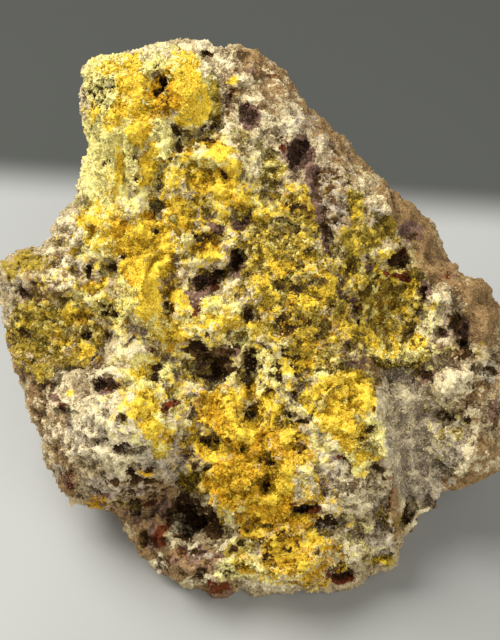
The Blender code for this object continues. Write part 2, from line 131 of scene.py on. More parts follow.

# Ovals of the face for each mineral, by strength: middle across and down, reach across and down
# in points, then where given the turn in degrees anticlockwise
# Some ovals stand for light and shade: the grey, tan, plum and dark ovals along the underside of the
# lower-left bulge, around (130, 490), are painted shade, and the cream oval at (120, 462) is a painted
# highlight
PAINT = {
    "tan": {
        0.5: (
            (336, 494, 30, 18), (24, 268, 26, 18), (350, 480, 24, 14), (90, 188, 12, 14),
            (226, 180, 6, 6),
        ),
        0.6: (
            (56, 276, 22, 24), (242, 150, 8, 24), (30, 270, 14, 8), (76, 456, 12, 20),
            (104, 400, 14, 8), (190, 454, 10, 14), (368, 470, 18, 14), (340, 274, 5, 34),
        ),
        0.7: (
            (234, 84, 9, 26), (30, 362, 18, 26), (148, 490, 46, 14), (170, 560, 24, 18),
            (438, 346, 14, 8), (488, 335, 16, 14),
        ),
        0.8: (
            (140, 550, 16, 18), (176, 566, 24, 16), (206, 368, 24, 18), (462, 284, 12, 24, 25),
            (62, 440, 16, 30), (122, 512, 16, 12), (214, 576, 22, 18), (470, 400, 18, 26),
            (488, 384, 14, 12),
        ),
        0.85: ((150, 522, 30, 18),),
        0.9: (
            (298, 96, 34, 16, -42), (318, 200, 5, 40, 6), (200, 562, 36, 18), (60, 278, 17, 26),
            (42, 405, 18, 30), (370, 374, 11, 30, 12),
        ),
        0.95: ((216, 592, 26, 14), (350, 146, 40, 14, -44)),
        1.0: (
            (398, 204, 34, 16, -50), (336, 192, 17, 46), (106, 105, 12, 8), (154, 51, 6, 4),
            (266, 100, 12, 22), (262, 66, 28, 18, -30), (284, 88, 16, 24), (310, 118, 34, 14, -38),
            (350, 158, 34, 12, -42), (152, 208, 5, 9), (46, 292, 16, 12), (415, 222, 16, 34, 25),
            (428, 250, 16, 26, 20), (440, 272, 20, 16), (482, 306, 20, 42), (66, 482, 14, 16),
            (172, 408, 14, 8), (394, 470, 6, 90, 3), (484, 460, 22, 24), (458, 482, 20, 9),
            (456, 350, 13, 8), (346, 462, 14, 8), (356, 488, 6, 6), (386, 466, 4, 18),
        ),
    },
    "grey": {
        0.3: ((240, 118, 12, 10),),
        0.36: ((334, 214, 14, 34),),
        0.4: ((340, 160, 30, 18, -42),),
        0.42: ((330, 168, 18, 36, -12),),
        0.5: ((304, 130, 34, 20, -40), (272, 172, 12, 16), (58, 470, 8, 10), (300, 230, 18, 8)),
        0.6: (
            (163, 142, 14, 20), (136, 206, 12, 24), (70, 222, 14, 8), (80, 264, 10, 9),
            (120, 486, 40, 14), (286, 340, 12, 10), (376, 210, 9, 6), (270, 448, 8, 7),
        ),
        0.7: (
            (334, 196, 18, 44), (256, 190, 9, 10), (14, 310, 14, 10), (330, 350, 12, 14),
            (380, 522, 16, 40), (490, 372, 10, 10), (444, 480, 12, 8),
        ),
        0.8: (
            (16, 288, 18, 8), (140, 388, 14, 6), (104, 428, 46, 36, 8), (176, 470, 16, 20),
            (282, 386, 9, 16), (335, 446, 20, 22), (450, 440, 24, 22), (452, 458, 14, 18),
            (336, 572, 14, 8), (292, 578, 10, 7),
        ),
        0.9: ((150, 455, 20, 16), (330, 466, 18, 14), (198, 554, 14, 7)),
        1.0: (
            (122, 136, 6, 6), (211, 130, 12, 7), (247, 290, 5, 12), (136, 334, 11, 14),
            (174, 450, 8, 12), (404, 396, 28, 36), (412, 440, 34, 50), (420, 480, 24, 30),
            (328, 518, 20, 13), (245, 510, 6, 5), (392, 236, 10, 7),
        ),
    },
    "pale": {
        0.2: ((340, 200, 50, 60), (214, 196, 10, 10)),
        0.3: ((322, 146, 16, 16), (382, 204, 16, 13), (455, 300, 12, 22, 25)),
        0.35: ((366, 186, 14, 16),),
        0.4: (
            (210, 300, 60, 60), (440, 380, 50, 70), (280, 370, 40, 60), (12, 276, 12, 10),
            (360, 176, 24, 12, -40), (340, 190, 5, 30), (320, 548, 8, 16),
        ),
        0.42: ((484, 462, 16, 14),),
        0.45: (
            (410, 430, 36, 70), (110, 410, 90, 64), (330, 480, 64, 60), (262, 120, 50, 56),
            (80, 250, 50, 30), (284, 124, 18, 12, -15), (442, 298, 15, 16),
        ),
        0.5: (
            (120, 150, 56, 110), (106, 78, 18, 12), (264, 210, 12, 12), (382, 254, 14, 6),
            (96, 438, 40, 26), (228, 556, 14, 24), (410, 522, 8, 12), (470, 410, 14, 10),
            (150, 388, 12, 6),
        ),
        0.6: (
            (398, 408, 24, 40), (232, 62, 16, 10), (256, 160, 14, 14), (96, 150, 10, 14),
            (120, 146, 12, 8), (148, 190, 10, 8), (172, 190, 14, 14), (186, 196, 8, 12),
            (312, 256, 18, 18), (400, 348, 24, 8), (286, 360, 14, 14), (372, 476, 16, 14),
            (206, 506, 14, 14), (186, 546, 18, 7), (250, 565, 14, 12), (440, 316, 10, 10),
            (200, 580, 18, 6), (60, 372, 16, 9),
        ),
        0.68: ((62, 276, 18, 18),),
        0.7: (
            (178, 526, 7, 7), (204, 152, 12, 6), (228, 160, 16, 5), (198, 166, 26, 6),
            (186, 258, 10, 10), (98, 300, 16, 8), (320, 278, 12, 6), (428, 320, 14, 14),
            (422, 332, 12, 12), (88, 410, 18, 12), (188, 390, 14, 10), (166, 370, 8, 16),
            (264, 376, 9, 22), (286, 338, 13, 12), (452, 470, 14, 6),
        ),
        0.75: ((454, 382, 20, 15),),
        0.8: (
            (104, 176, 20, 46), (80, 250, 26, 12), (232, 240, 12, 9), (208, 326, 18, 8),
            (228, 290, 12, 14), (178, 428, 18, 10), (300, 412, 10, 10), (440, 398, 10, 5),
            (416, 506, 18, 7),
        ),
        0.9: (
            (162, 140, 12, 24), (206, 46, 20, 8), (212, 66, 14, 16), (92, 172, 12, 14),
            (164, 140, 14, 22), (126, 170, 6, 20), (174, 238, 8, 10), (102, 374, 10, 7),
            (120, 462, 18, 12, 10), (373, 408, 6, 14), (304, 478, 18, 26), (362, 498, 16, 10),
            (350, 546, 14, 18),
        ),
        0.95: ((312, 271, 18, 5, -38),),
        1.0: (
            (133, 192, 9, 40), (144, 54, 12, 7), (170, 50, 18, 10), (236, 80, 8, 7), (245, 98, 6, 6),
            (134, 204, 13, 30), (72, 224, 14, 9), (216, 298, 20, 18), (128, 356, 20, 15),
            (124, 402, 14, 9), (272, 446, 11, 8), (373, 442, 11, 15), (336, 496, 36, 13),
            (270, 580, 34, 9), (160, 562, 10, 7), (472, 446, 5, 26, -18),
        ),
    },
    "olive": {
        0.3: ((250, 470, 70, 90),),
        0.35: ((210, 300, 60, 60), (220, 130, 40, 50)),
        0.4: ((214, 130, 12, 6), (384, 516, 12, 20), (386, 492, 8, 6)),
        0.42: ((336, 192, 16, 44),),
        0.45: ((60, 320, 64, 50), (424, 396, 9, 18)),
        0.5: (
            (108, 74, 22, 14), (280, 260, 80, 70), (370, 280, 56, 80), (418, 372, 8, 8),
            (130, 500, 30, 8), (250, 540, 18, 8), (404, 522, 8, 18), (60, 346, 30, 14),
            (480, 350, 10, 14), (252, 300, 6, 14),
        ),
        0.6: ((330, 346, 12, 16), (156, 388, 7, 14), (450, 434, 14, 10), (196, 372, 18, 14)),
        0.7: (
            (202, 206, 16, 12), (190, 214, 8, 12), (256, 268, 14, 16), (300, 228, 24, 12),
            (104, 268, 14, 8), (394, 334, 20, 22), (270, 524, 22, 12), (236, 558, 16, 20),
        ),
        0.8: (
            (272, 172, 12, 18), (282, 290, 20, 8), (30, 262, 22, 12), (12, 268, 16, 12),
            (360, 240, 26, 18), (352, 264, 14, 20), (212, 408, 14, 20), (28, 340, 18, 18),
            (192, 480, 14, 12), (160, 450, 10, 14), (380, 560, 16, 8),
        ),
        0.9: ((298, 206, 22, 16), (270, 245, 32, 20), (44, 318, 36, 10), (374, 318, 18, 34)),
        1.0: (
            (214, 100, 10, 22), (278, 205, 5, 12), (205, 244, 20, 17), (110, 310, 20, 12),
            (356, 205, 12, 16), (386, 227, 16, 11), (374, 282, 16, 18), (254, 330, 14, 12),
            (208, 524, 6, 8),
        ),
    },
    "lemon": {
        0.3: ((440, 420, 30, 50), (360, 200, 30, 40)),
        0.35: (
            (262, 240, 16, 26), (300, 244, 24, 18), (60, 310, 60, 50), (300, 270, 60, 50),
            (130, 350, 26, 22),
        ),
        0.4: (
            (250, 220, 60, 50), (150, 400, 60, 60), (390, 300, 50, 60), (350, 540, 40, 30),
            (420, 350, 40, 30),
        ),
        0.45: ((130, 352, 24, 20), (230, 170, 60, 50), (260, 400, 60, 70), (250, 500, 50, 80)),
        0.5: (
            (310, 452, 26, 26), (124, 250, 44, 40), (190, 330, 60, 60), (340, 400, 40, 60),
            (300, 470, 14, 24), (430, 320, 18, 22),
        ),
        0.55: ((150, 120, 70, 84),),
        0.6: ((120, 190, 54, 70), (92, 300, 24, 16), (240, 340, 14, 20), (190, 250, 14, 20)),
        0.7: (
            (180, 400, 14, 20), (100, 245, 30, 16), (200, 170, 36, 12), (232, 210, 24, 16),
            (156, 424, 14, 30), (216, 310, 30, 20), (264, 372, 20, 30), (250, 568, 40, 16),
            (400, 350, 40, 12),
        ),
        0.8: (
            (250, 205, 18, 20), (160, 150, 18, 40), (110, 70, 30, 24), (100, 206, 24, 30),
            (120, 130, 20, 20), (210, 160, 30, 8), (372, 440, 14, 22),
        ),
        0.9: ((325, 277, 8, 6), (100, 150, 22, 60), (120, 164, 14, 44)),
        0.95: ((146, 374, 26, 22),),
        1.0: ((104, 176, 20, 46), (121, 165, 9, 44), (118, 165, 12, 40)),
    },
    "ochre": {
        0.3: (
            (112, 192, 6, 16), (88, 350, 22, 16), (380, 300, 14, 22), (396, 316, 22, 28),
            (104, 350, 8, 14),
        ),
        0.35: ((266, 312, 22, 20), (66, 338, 40, 8)),
        0.4: ((330, 324, 24, 16),),
        0.45: ((304, 316, 32, 26), (290, 330, 16, 10)),
        0.5: ((288, 206, 12, 14), (308, 352, 14, 26), (318, 274, 12, 8)),
        0.6: (
            (304, 208, 10, 14), (80, 316, 18, 8), (222, 400, 14, 16), (262, 400, 14, 16),
            (176, 340, 18, 14), (170, 296, 8, 22),
        ),
        0.7: (
            (262, 440, 30, 24), (138, 130, 12, 10), (148, 178, 6, 10), (128, 62, 8, 7),
            (148, 118, 10, 12), (212, 146, 12, 5), (190, 152, 6, 8), (322, 404, 12, 22),
            (160, 436, 12, 12), (272, 464, 16, 14), (256, 496, 20, 16), (270, 510, 14, 14),
            (300, 440, 12, 12),
        ),
        0.8: (
            (142, 96, 8, 8), (144, 160, 10, 9), (92, 224, 14, 10), (206, 246, 14, 9),
            (206, 182, 20, 12), (230, 200, 20, 12), (96, 286, 14, 10), (262, 432, 18, 12),
            (146, 474, 8, 6), (250, 392, 10, 12),
        ),
        0.9: ((118, 230, 10, 12), (130, 246, 16, 12), (178, 218, 14, 16), (346, 402, 14, 18)),
        0.95: ((240, 480, 36, 28), (288, 552, 28, 22)),
        1.0: (
            (166, 92, 19, 24), (160, 106, 12, 9), (150, 226, 14, 16), (158, 258, 18, 18),
            (134, 276, 12, 14), (226, 176, 14, 12), (212, 450, 18, 14), (238, 448, 12, 12),
            (248, 522, 12, 8), (98, 502, 12, 7),
        ),
    },
    "yellow": {
        0.22: ((130, 150, 62, 120),),
        0.36: ((110, 280, 100, 60), (370, 300, 60, 80)),
        0.4: (
            (240, 250, 90, 90), (150, 400, 50, 50), (300, 520, 64, 60), (74, 244, 18, 10),
            (300, 330, 18, 16), (110, 328, 16, 12), (44, 330, 18, 8), (400, 300, 14, 14),
            (352, 262, 12, 18), (240, 560, 10, 14),
        ),
        0.42: ((250, 410, 100, 120), (116, 160, 8, 20), (112, 192, 8, 26)),
        0.45: ((200, 190, 60, 60), (190, 330, 60, 40), (60, 346, 16, 8)),
        0.5: (
            (88, 228, 16, 10), (270, 200, 10, 10), (322, 262, 14, 20), (280, 310, 20, 14),
            (88, 350, 14, 14), (164, 428, 14, 12), (408, 320, 16, 20), (430, 304, 10, 8),
            (230, 470, 28, 20), (250, 488, 26, 20), (234, 488, 22, 14), (262, 506, 20, 12),
            (278, 540, 16, 12), (310, 520, 10, 8), (280, 576, 24, 8), (222, 512, 8, 14),
            (158, 446, 8, 8),
        ),
        0.55: ((100, 216, 28, 18), (286, 556, 24, 18)),
        0.6: (
            (184, 62, 18, 12), (150, 148, 10, 10), (104, 240, 22, 14), (312, 216, 8, 6),
            (262, 284, 10, 14), (302, 262, 12, 14), (200, 318, 24, 12), (184, 312, 12, 12),
            (72, 393, 5, 5), (152, 364, 9, 9), (390, 346, 22, 12), (370, 334, 8, 16),
            (304, 460, 12, 12), (304, 562, 14, 12), (196, 440, 10, 20), (376, 562, 12, 6),
        ),
        0.65: ((172, 176, 14, 14), (298, 188, 14, 7)),
        0.7: (
            (114, 120, 12, 12), (196, 172, 18, 10), (254, 214, 22, 12), (226, 322, 16, 14),
            (172, 330, 20, 16), (96, 288, 10, 6), (138, 374, 12, 9), (416, 340, 12, 10),
            (352, 332, 16, 12), (356, 206, 8, 12), (310, 396, 12, 20), (316, 474, 8, 10),
            (252, 532, 14, 10), (314, 540, 14, 14),
        ),
        0.75: ((108, 68, 16, 10), (222, 188, 20, 16), (280, 266, 20, 12), (292, 364, 18, 12)),
        0.8: (
            (132, 64, 12, 12), (92, 112, 7, 16), (124, 104, 10, 16), (236, 170, 10, 14),
            (210, 256, 18, 6), (312, 296, 22, 14), (134, 414, 8, 8), (388, 256, 14, 5),
            (290, 436, 12, 14), (216, 452, 16, 12), (284, 476, 14, 24), (188, 404, 5, 6),
        ),
        0.85: ((246, 194, 8, 10), (70, 314, 10, 10), (232, 404, 12, 18), (268, 410, 14, 20)),
        0.9: (
            (134, 84, 18, 14), (117, 172, 4, 34), (176, 212, 16, 18), (158, 262, 18, 18),
            (148, 310, 12, 14), (168, 250, 8, 14), (350, 444, 10, 9),
        ),
        0.95: (
            (134, 268, 14, 16), (328, 296, 12, 10), (146, 404, 14, 13), (344, 384, 30, 16),
            (334, 414, 24, 18), (350, 430, 18, 16),
        ),
        1.0: (
            (194, 98, 17, 28), (184, 78, 12, 18), (188, 118, 14, 10), (142, 112, 12, 20),
            (138, 132, 14, 16), (148, 170, 10, 18), (146, 240, 28, 22), (148, 286, 15, 30),
            (178, 297, 8, 8), (222, 152, 14, 7), (330, 280, 8, 8), (150, 426, 14, 12),
            (412, 286, 10, 12), (362, 398, 14, 20), (362, 456, 7, 7), (240, 430, 20, 14),
            (272, 498, 10, 10), (230, 80, 6, 5),
        ),
    },
    "plum": {
        0.3: ((60, 278, 16, 20), (60, 420, 34, 60), (230, 230, 40, 40), (350, 520, 40, 40)),
        0.34: ((334, 192, 18, 46),),
        0.35: ((440, 350, 50, 60),),
        0.4: ((330, 486, 36, 24), (20, 350, 20, 40), (452, 276, 6, 6), (124, 484, 14, 9)),
        0.45: ((170, 566, 26, 12), (130, 500, 60, 20)),
        0.5: (
            (148, 516, 26, 14), (200, 560, 34, 18), (350, 360, 24, 12), (48, 288, 12, 10),
            (164, 412, 10, 6), (188, 452, 8, 10), (228, 100, 6, 16),
        ),
        0.6: (
            (216, 594, 22, 10), (210, 366, 22, 18), (338, 286, 6, 26, 8), (192, 296, 9, 14),
            (200, 552, 12, 8), (250, 66, 7, 9), (330, 458, 6, 6),
        ),
        0.7: ((24, 292, 12, 7), (140, 330, 8, 8), (233, 353, 9, 9), (350, 356, 16, 8), (222, 348, 8, 7)),
        0.8: (
            (324, 240, 6, 26, 8), (237, 266, 8, 12), (354, 306, 11, 11), (364, 286, 6, 9),
            (368, 270, 5, 6), (440, 332, 8, 6), (304, 508, 16, 7), (154, 536, 7, 14), (68, 478, 7, 10),
            (246, 520, 5, 5), (170, 508, 8, 8),
        ),
        0.9: (
            (312, 172, 7, 14, 15), (316, 200, 5, 26, 8), (242, 226, 9, 5), (203, 284, 12, 11),
            (410, 232, 12, 13), (462, 332, 12, 18),
        ),
        1.0: (
            (248, 116, 11, 14), (299, 155, 16, 22), (218, 228, 8, 6), (424, 292, 7, 14),
            (106, 386, 15, 7), (50, 397, 7, 5), (346, 347, 9, 5), (426, 376, 9, 8), (496, 410, 5, 18),
            (340, 574, 16, 10),
        ),
    },
    "rust": {
        0.3: ((346, 404, 6, 8), (272, 76, 6, 8)),
        0.4: (
            (240, 150, 5, 20), (366, 486, 5, 5), (474, 440, 8, 10), (372, 386, 6, 12), (238, 258, 5, 4),
        ),
        0.5: (
            (444, 274, 7, 8), (180, 556, 10, 9), (462, 405, 6, 8), (392, 505, 3, 40, 3),
            (70, 482, 8, 9),
        ),
        0.55: ((230, 104, 5, 18),),
        0.6: ((110, 386, 10, 4), (284, 148, 5, 12), (358, 307, 7, 8), (296, 506, 8, 5)),
        0.7: ((64, 407, 5, 6), (151, 348, 7, 4), (340, 460, 8, 4)),
        0.8: (
            (196, 308, 5, 6), (168, 405, 10, 6), (150, 503, 8, 4), (218, 588, 14, 8), (371, 412, 4, 4),
        ),
        0.9: ((401, 251, 5, 6),),
        1.0: (
            (216, 286, 6, 6), (388, 273, 5, 4), (403, 276, 10, 4), (313, 508, 7, 6), (161, 536, 8, 13),
            (168, 526, 5, 6), (342, 578, 15, 7),
        ),
    },
    # Painted shade: dark ovals over holes, caves, creases and the undersides of overhangs
    "painted_shade": {
        0.25: ((300, 150, 8, 10),),
        0.32: ((118, 440, 40, 20), (452, 384, 26, 22)),
        0.34: ((30, 272, 30, 18),),
        0.35: ((168, 308, 6, 12), (446, 414, 12, 8), (452, 456, 7, 6)),
        0.36: ((290, 318, 40, 30),),
        0.4: (
            (380, 466, 14, 16), (159, 186, 3, 14), (124, 234, 4, 3), (204, 286, 8, 7), (264, 390, 5, 6),
            (170, 480, 12, 6), (285, 288, 18, 4),
        ),
        0.42: ((288, 552, 34, 24), (101, 94, 23, 32), (165, 90, 14, 18)),
        0.45: ((138, 540, 14, 24), (250, 362, 7, 16), (249, 412, 7, 9)),
        0.5: (
            (278, 366, 24, 28), (218, 588, 16, 8), (200, 564, 44, 16), (300, 206, 22, 16),
            (90, 270, 3, 8), (110, 312, 16, 8), (112, 387, 8, 4), (96, 383, 5, 3), (158, 372, 6, 12),
            (320, 336, 4, 4), (212, 440, 12, 4), (243, 450, 4, 4), (261, 459, 5, 4), (448, 402, 9, 3),
            (490, 372, 5, 4), (470, 420, 8, 5), (102, 143, 5, 2), (374, 284, 10, 5),
        ),
        0.56: ((334, 192, 20, 48),),
        0.58: ((136, 484, 36, 16),),
        0.6: (
            (296, 231, 18, 5), (288, 288, 16, 5, -10), (102, 92, 14, 4), (152, 232, 5, 6),
            (124, 258, 4, 3), (112, 266, 9, 4), (225, 173, 5, 5), (202, 236, 10, 5), (248, 228, 6, 4),
            (330, 305, 6, 4), (412, 236, 7, 8), (24, 334, 10, 7), (266, 342, 5, 5), (293, 396, 3, 6),
            (406, 520, 4, 16), (326, 520, 14, 8), (66, 474, 5, 8), (395, 540, 4, 8), (104, 163, 6, 3),
        ),
        0.7: (
            (175, 132, 4, 4), (177, 147, 4, 5), (136, 157, 8, 3), (28, 290, 8, 5), (14, 288, 6, 4),
            (213, 143, 10, 3), (208, 126, 13, 2), (247, 315, 5, 6), (462, 342, 8, 9), (440, 332, 5, 4),
            (218, 368, 9, 20), (290, 416, 5, 4), (300, 424, 9, 2, 20), (271, 462, 4, 6),
            (132, 470, 4, 4), (148, 468, 4, 3), (398, 364, 16, 3), (365, 432, 14, 3, 25),
        ),
        0.8: (
            (226, 362, 14, 20), (202, 352, 16, 9), (218, 273, 8, 6), (424, 296, 4, 8),
            (457, 322, 8, 10), (266, 488, 6, 8), (186, 503, 18, 9), (196, 553, 9, 4), (346, 346, 6, 4),
            (426, 374, 6, 5), (497, 410, 3, 16), (416, 517, 4, 5), (303, 510, 4, 3),
        ),
        0.9: (
            (172, 157, 5, 3, 30), (464, 356, 5, 4), (299, 447, 5, 8), (194, 468, 4, 5),
            (169, 512, 4, 7), (342, 568, 12, 6), (182, 537, 7, 2.5),
        ),
        1.0: (
            (137, 178, 5, 3), (207, 52, 11, 2), (237, 259, 5, 11), (398, 261, 12, 6), (86, 335, 5, 3),
            (123, 415, 3, 7, 30), (208, 334, 5, 4), (196, 348, 14, 6), (249, 529, 8, 4),
            (234, 548, 4, 3), (242, 543, 3, 3), (259, 543, 3, 4), (290, 548, 4, 2), (204, 518, 20, 15),
            (216, 528, 9, 12), (145, 538, 5, 9),
        ),
    },
}

# Ovals as above, by depth in millimetres: holes that go in
HOLES = {
    0.3: ((298, 154, 14, 18),),
    0.4: ((165, 284, 4, 12),),
    0.5: (
        (246, 510, 4, 4), (452, 456, 6, 6), (371, 412, 4, 4), (102, 143, 5, 2), (58, 318, 6, 3),
        (32, 362, 5, 5), (318, 404, 4, 4), (330, 390, 4, 5), (270, 296, 6, 3), (284, 246, 6, 4),
        (262, 236, 5, 4), (402, 338, 4, 4),
    ),
    0.6: (
        (167, 83, 12, 13), (160, 184, 3, 12), (110, 192, 4, 4), (66, 230, 9, 3, -20), (208, 126, 13, 2),
        (200, 236, 7, 4), (218, 226, 6, 4), (243, 227, 7, 4), (366, 287, 5, 6), (157, 380, 6, 12),
        (365, 433, 14, 2, 25), (98, 163, 7, 3), (190, 296, 4, 7), (16, 310, 5, 4), (48, 352, 6, 4),
        (70, 350, 5, 3), (348, 396, 5, 4), (300, 300, 5, 4), (308, 250, 4, 6), (230, 496, 3, 3),
        (222, 478, 3, 3), (252, 470, 3, 3), (388, 316, 4, 5), (378, 298, 4, 5), (424, 330, 4, 4),
        (470, 386, 5, 5), (458, 410, 5, 4), (480, 420, 5, 4),
    ),
    0.7: (
        (124, 233, 4, 4), (212, 144, 8, 3), (412, 234, 7, 7), (25, 335, 8, 6), (301, 424, 9, 2, 20),
        (398, 364, 15, 3), (303, 510, 4, 3), (284, 520, 5, 4), (300, 534, 4, 3), (446, 350, 6, 4),
        (478, 366, 5, 4),
    ),
    0.8: (
        (175, 132, 4, 4), (135, 157, 7, 3), (90, 270, 3, 9), (28, 292, 8, 5), (168, 312, 5, 11),
        (226, 174, 6, 5), (330, 305, 6, 4), (366, 270, 5, 5), (250, 362, 8, 16), (249, 412, 7, 9),
        (234, 548, 4, 4), (242, 543, 3, 3), (259, 543, 3, 4), (196, 554, 9, 4), (346, 346, 6, 4),
        (490, 372, 6, 6), (417, 516, 3, 4), (176, 372, 4, 6), (241, 498, 3, 4), (280, 466, 4, 5),
    ),
    0.9: (
        (177, 147, 3, 5), (154, 232, 5, 7), (108, 387, 12, 4), (293, 396, 3, 6), (271, 462, 4, 5),
        (148, 468, 4, 3), (426, 375, 7, 5), (448, 401, 9, 4), (497, 410, 3, 15),
    ),
    1.0: (
        (172, 157, 5, 3, 30), (124, 258, 4, 3), (110, 312, 14, 7), (237, 258, 5, 10), (203, 284, 7, 8),
        (246, 314, 4, 5), (455, 322, 7, 9), (86, 335, 5, 3), (208, 334, 5, 4), (266, 342, 5, 5),
        (320, 337, 4, 4), (262, 459, 5, 4), (194, 468, 4, 5), (290, 548, 4, 3),
    ),
    1.1: ((218, 272, 7, 5), (132, 470, 5, 5)),
    1.2: (
        (137, 178, 5, 3), (112, 267, 9, 5), (207, 52, 10, 2), (424, 294, 4, 9), (440, 332, 6, 5),
        (123, 415, 3, 6, 30), (196, 348, 12, 4), (264, 391, 7, 8), (290, 416, 6, 5), (212, 440, 12, 4),
        (243, 450, 4, 4), (299, 448, 5, 7), (249, 529, 8, 4), (145, 538, 4, 8),
    ),
    1.3: ((464, 341, 7, 9),),
    1.4: ((102, 92, 15, 4), (398, 262, 10, 5), (266, 488, 6, 8), (343, 571, 12, 6)),
    1.5: ((219, 368, 14, 18),),
}
# Ovals by height in millimetres: knobs that stand out
KNOBS = {
    0.3: ((210, 330, 5, 3), (440, 498, 4, 8)),
    0.4: ((412, 522, 5, 6), (484, 290, 10, 10)),
    0.5: (
        (245, 98, 5, 5), (106, 108, 9, 6), (186, 236, 6, 7), (232, 240, 8, 6), (350, 358, 10, 4),
        (134, 370, 8, 6), (202, 160, 12, 3), (226, 152, 8, 4), (366, 204, 10, 12), (278, 538, 8, 5),
        (228, 402, 7, 8), (306, 484, 8, 6), (92, 222, 8, 6), (72, 222, 10, 5), (80, 260, 8, 6),
        (104, 276, 8, 3), (160, 562, 7, 5), (172, 548, 8, 6),
    ),
    0.6: (
        (164, 150, 8, 6), (424, 282, 7, 2), (442, 300, 10, 8), (270, 448, 8, 6), (330, 268, 8, 5),
        (384, 254, 12, 3, 15), (346, 376, 12, 5), (366, 392, 7, 8), (336, 420, 10, 7), (230, 472, 8, 6),
        (248, 484, 9, 6), (236, 430, 9, 6), (270, 500, 8, 6), (286, 556, 9, 6), (304, 564, 8, 6),
        (264, 412, 8, 8), (346, 494, 10, 5), (350, 544, 8, 7),
    ),
    0.7: (
        (128, 352, 12, 9), (102, 374, 9, 5), (438, 394, 10, 5), (214, 258, 16, 3), (146, 404, 8, 7),
        (152, 424, 8, 6),
    ),
    0.8: ((452, 378, 14, 9), (372, 438, 9, 8), (178, 526, 7, 6)),
    0.9: ((456, 350, 10, 5),),
    1.3: ((297, 200, 19, 17),),
    1.4: ((178, 297, 8, 8),),
    1.6: ((161, 83, 5, 13),),
}
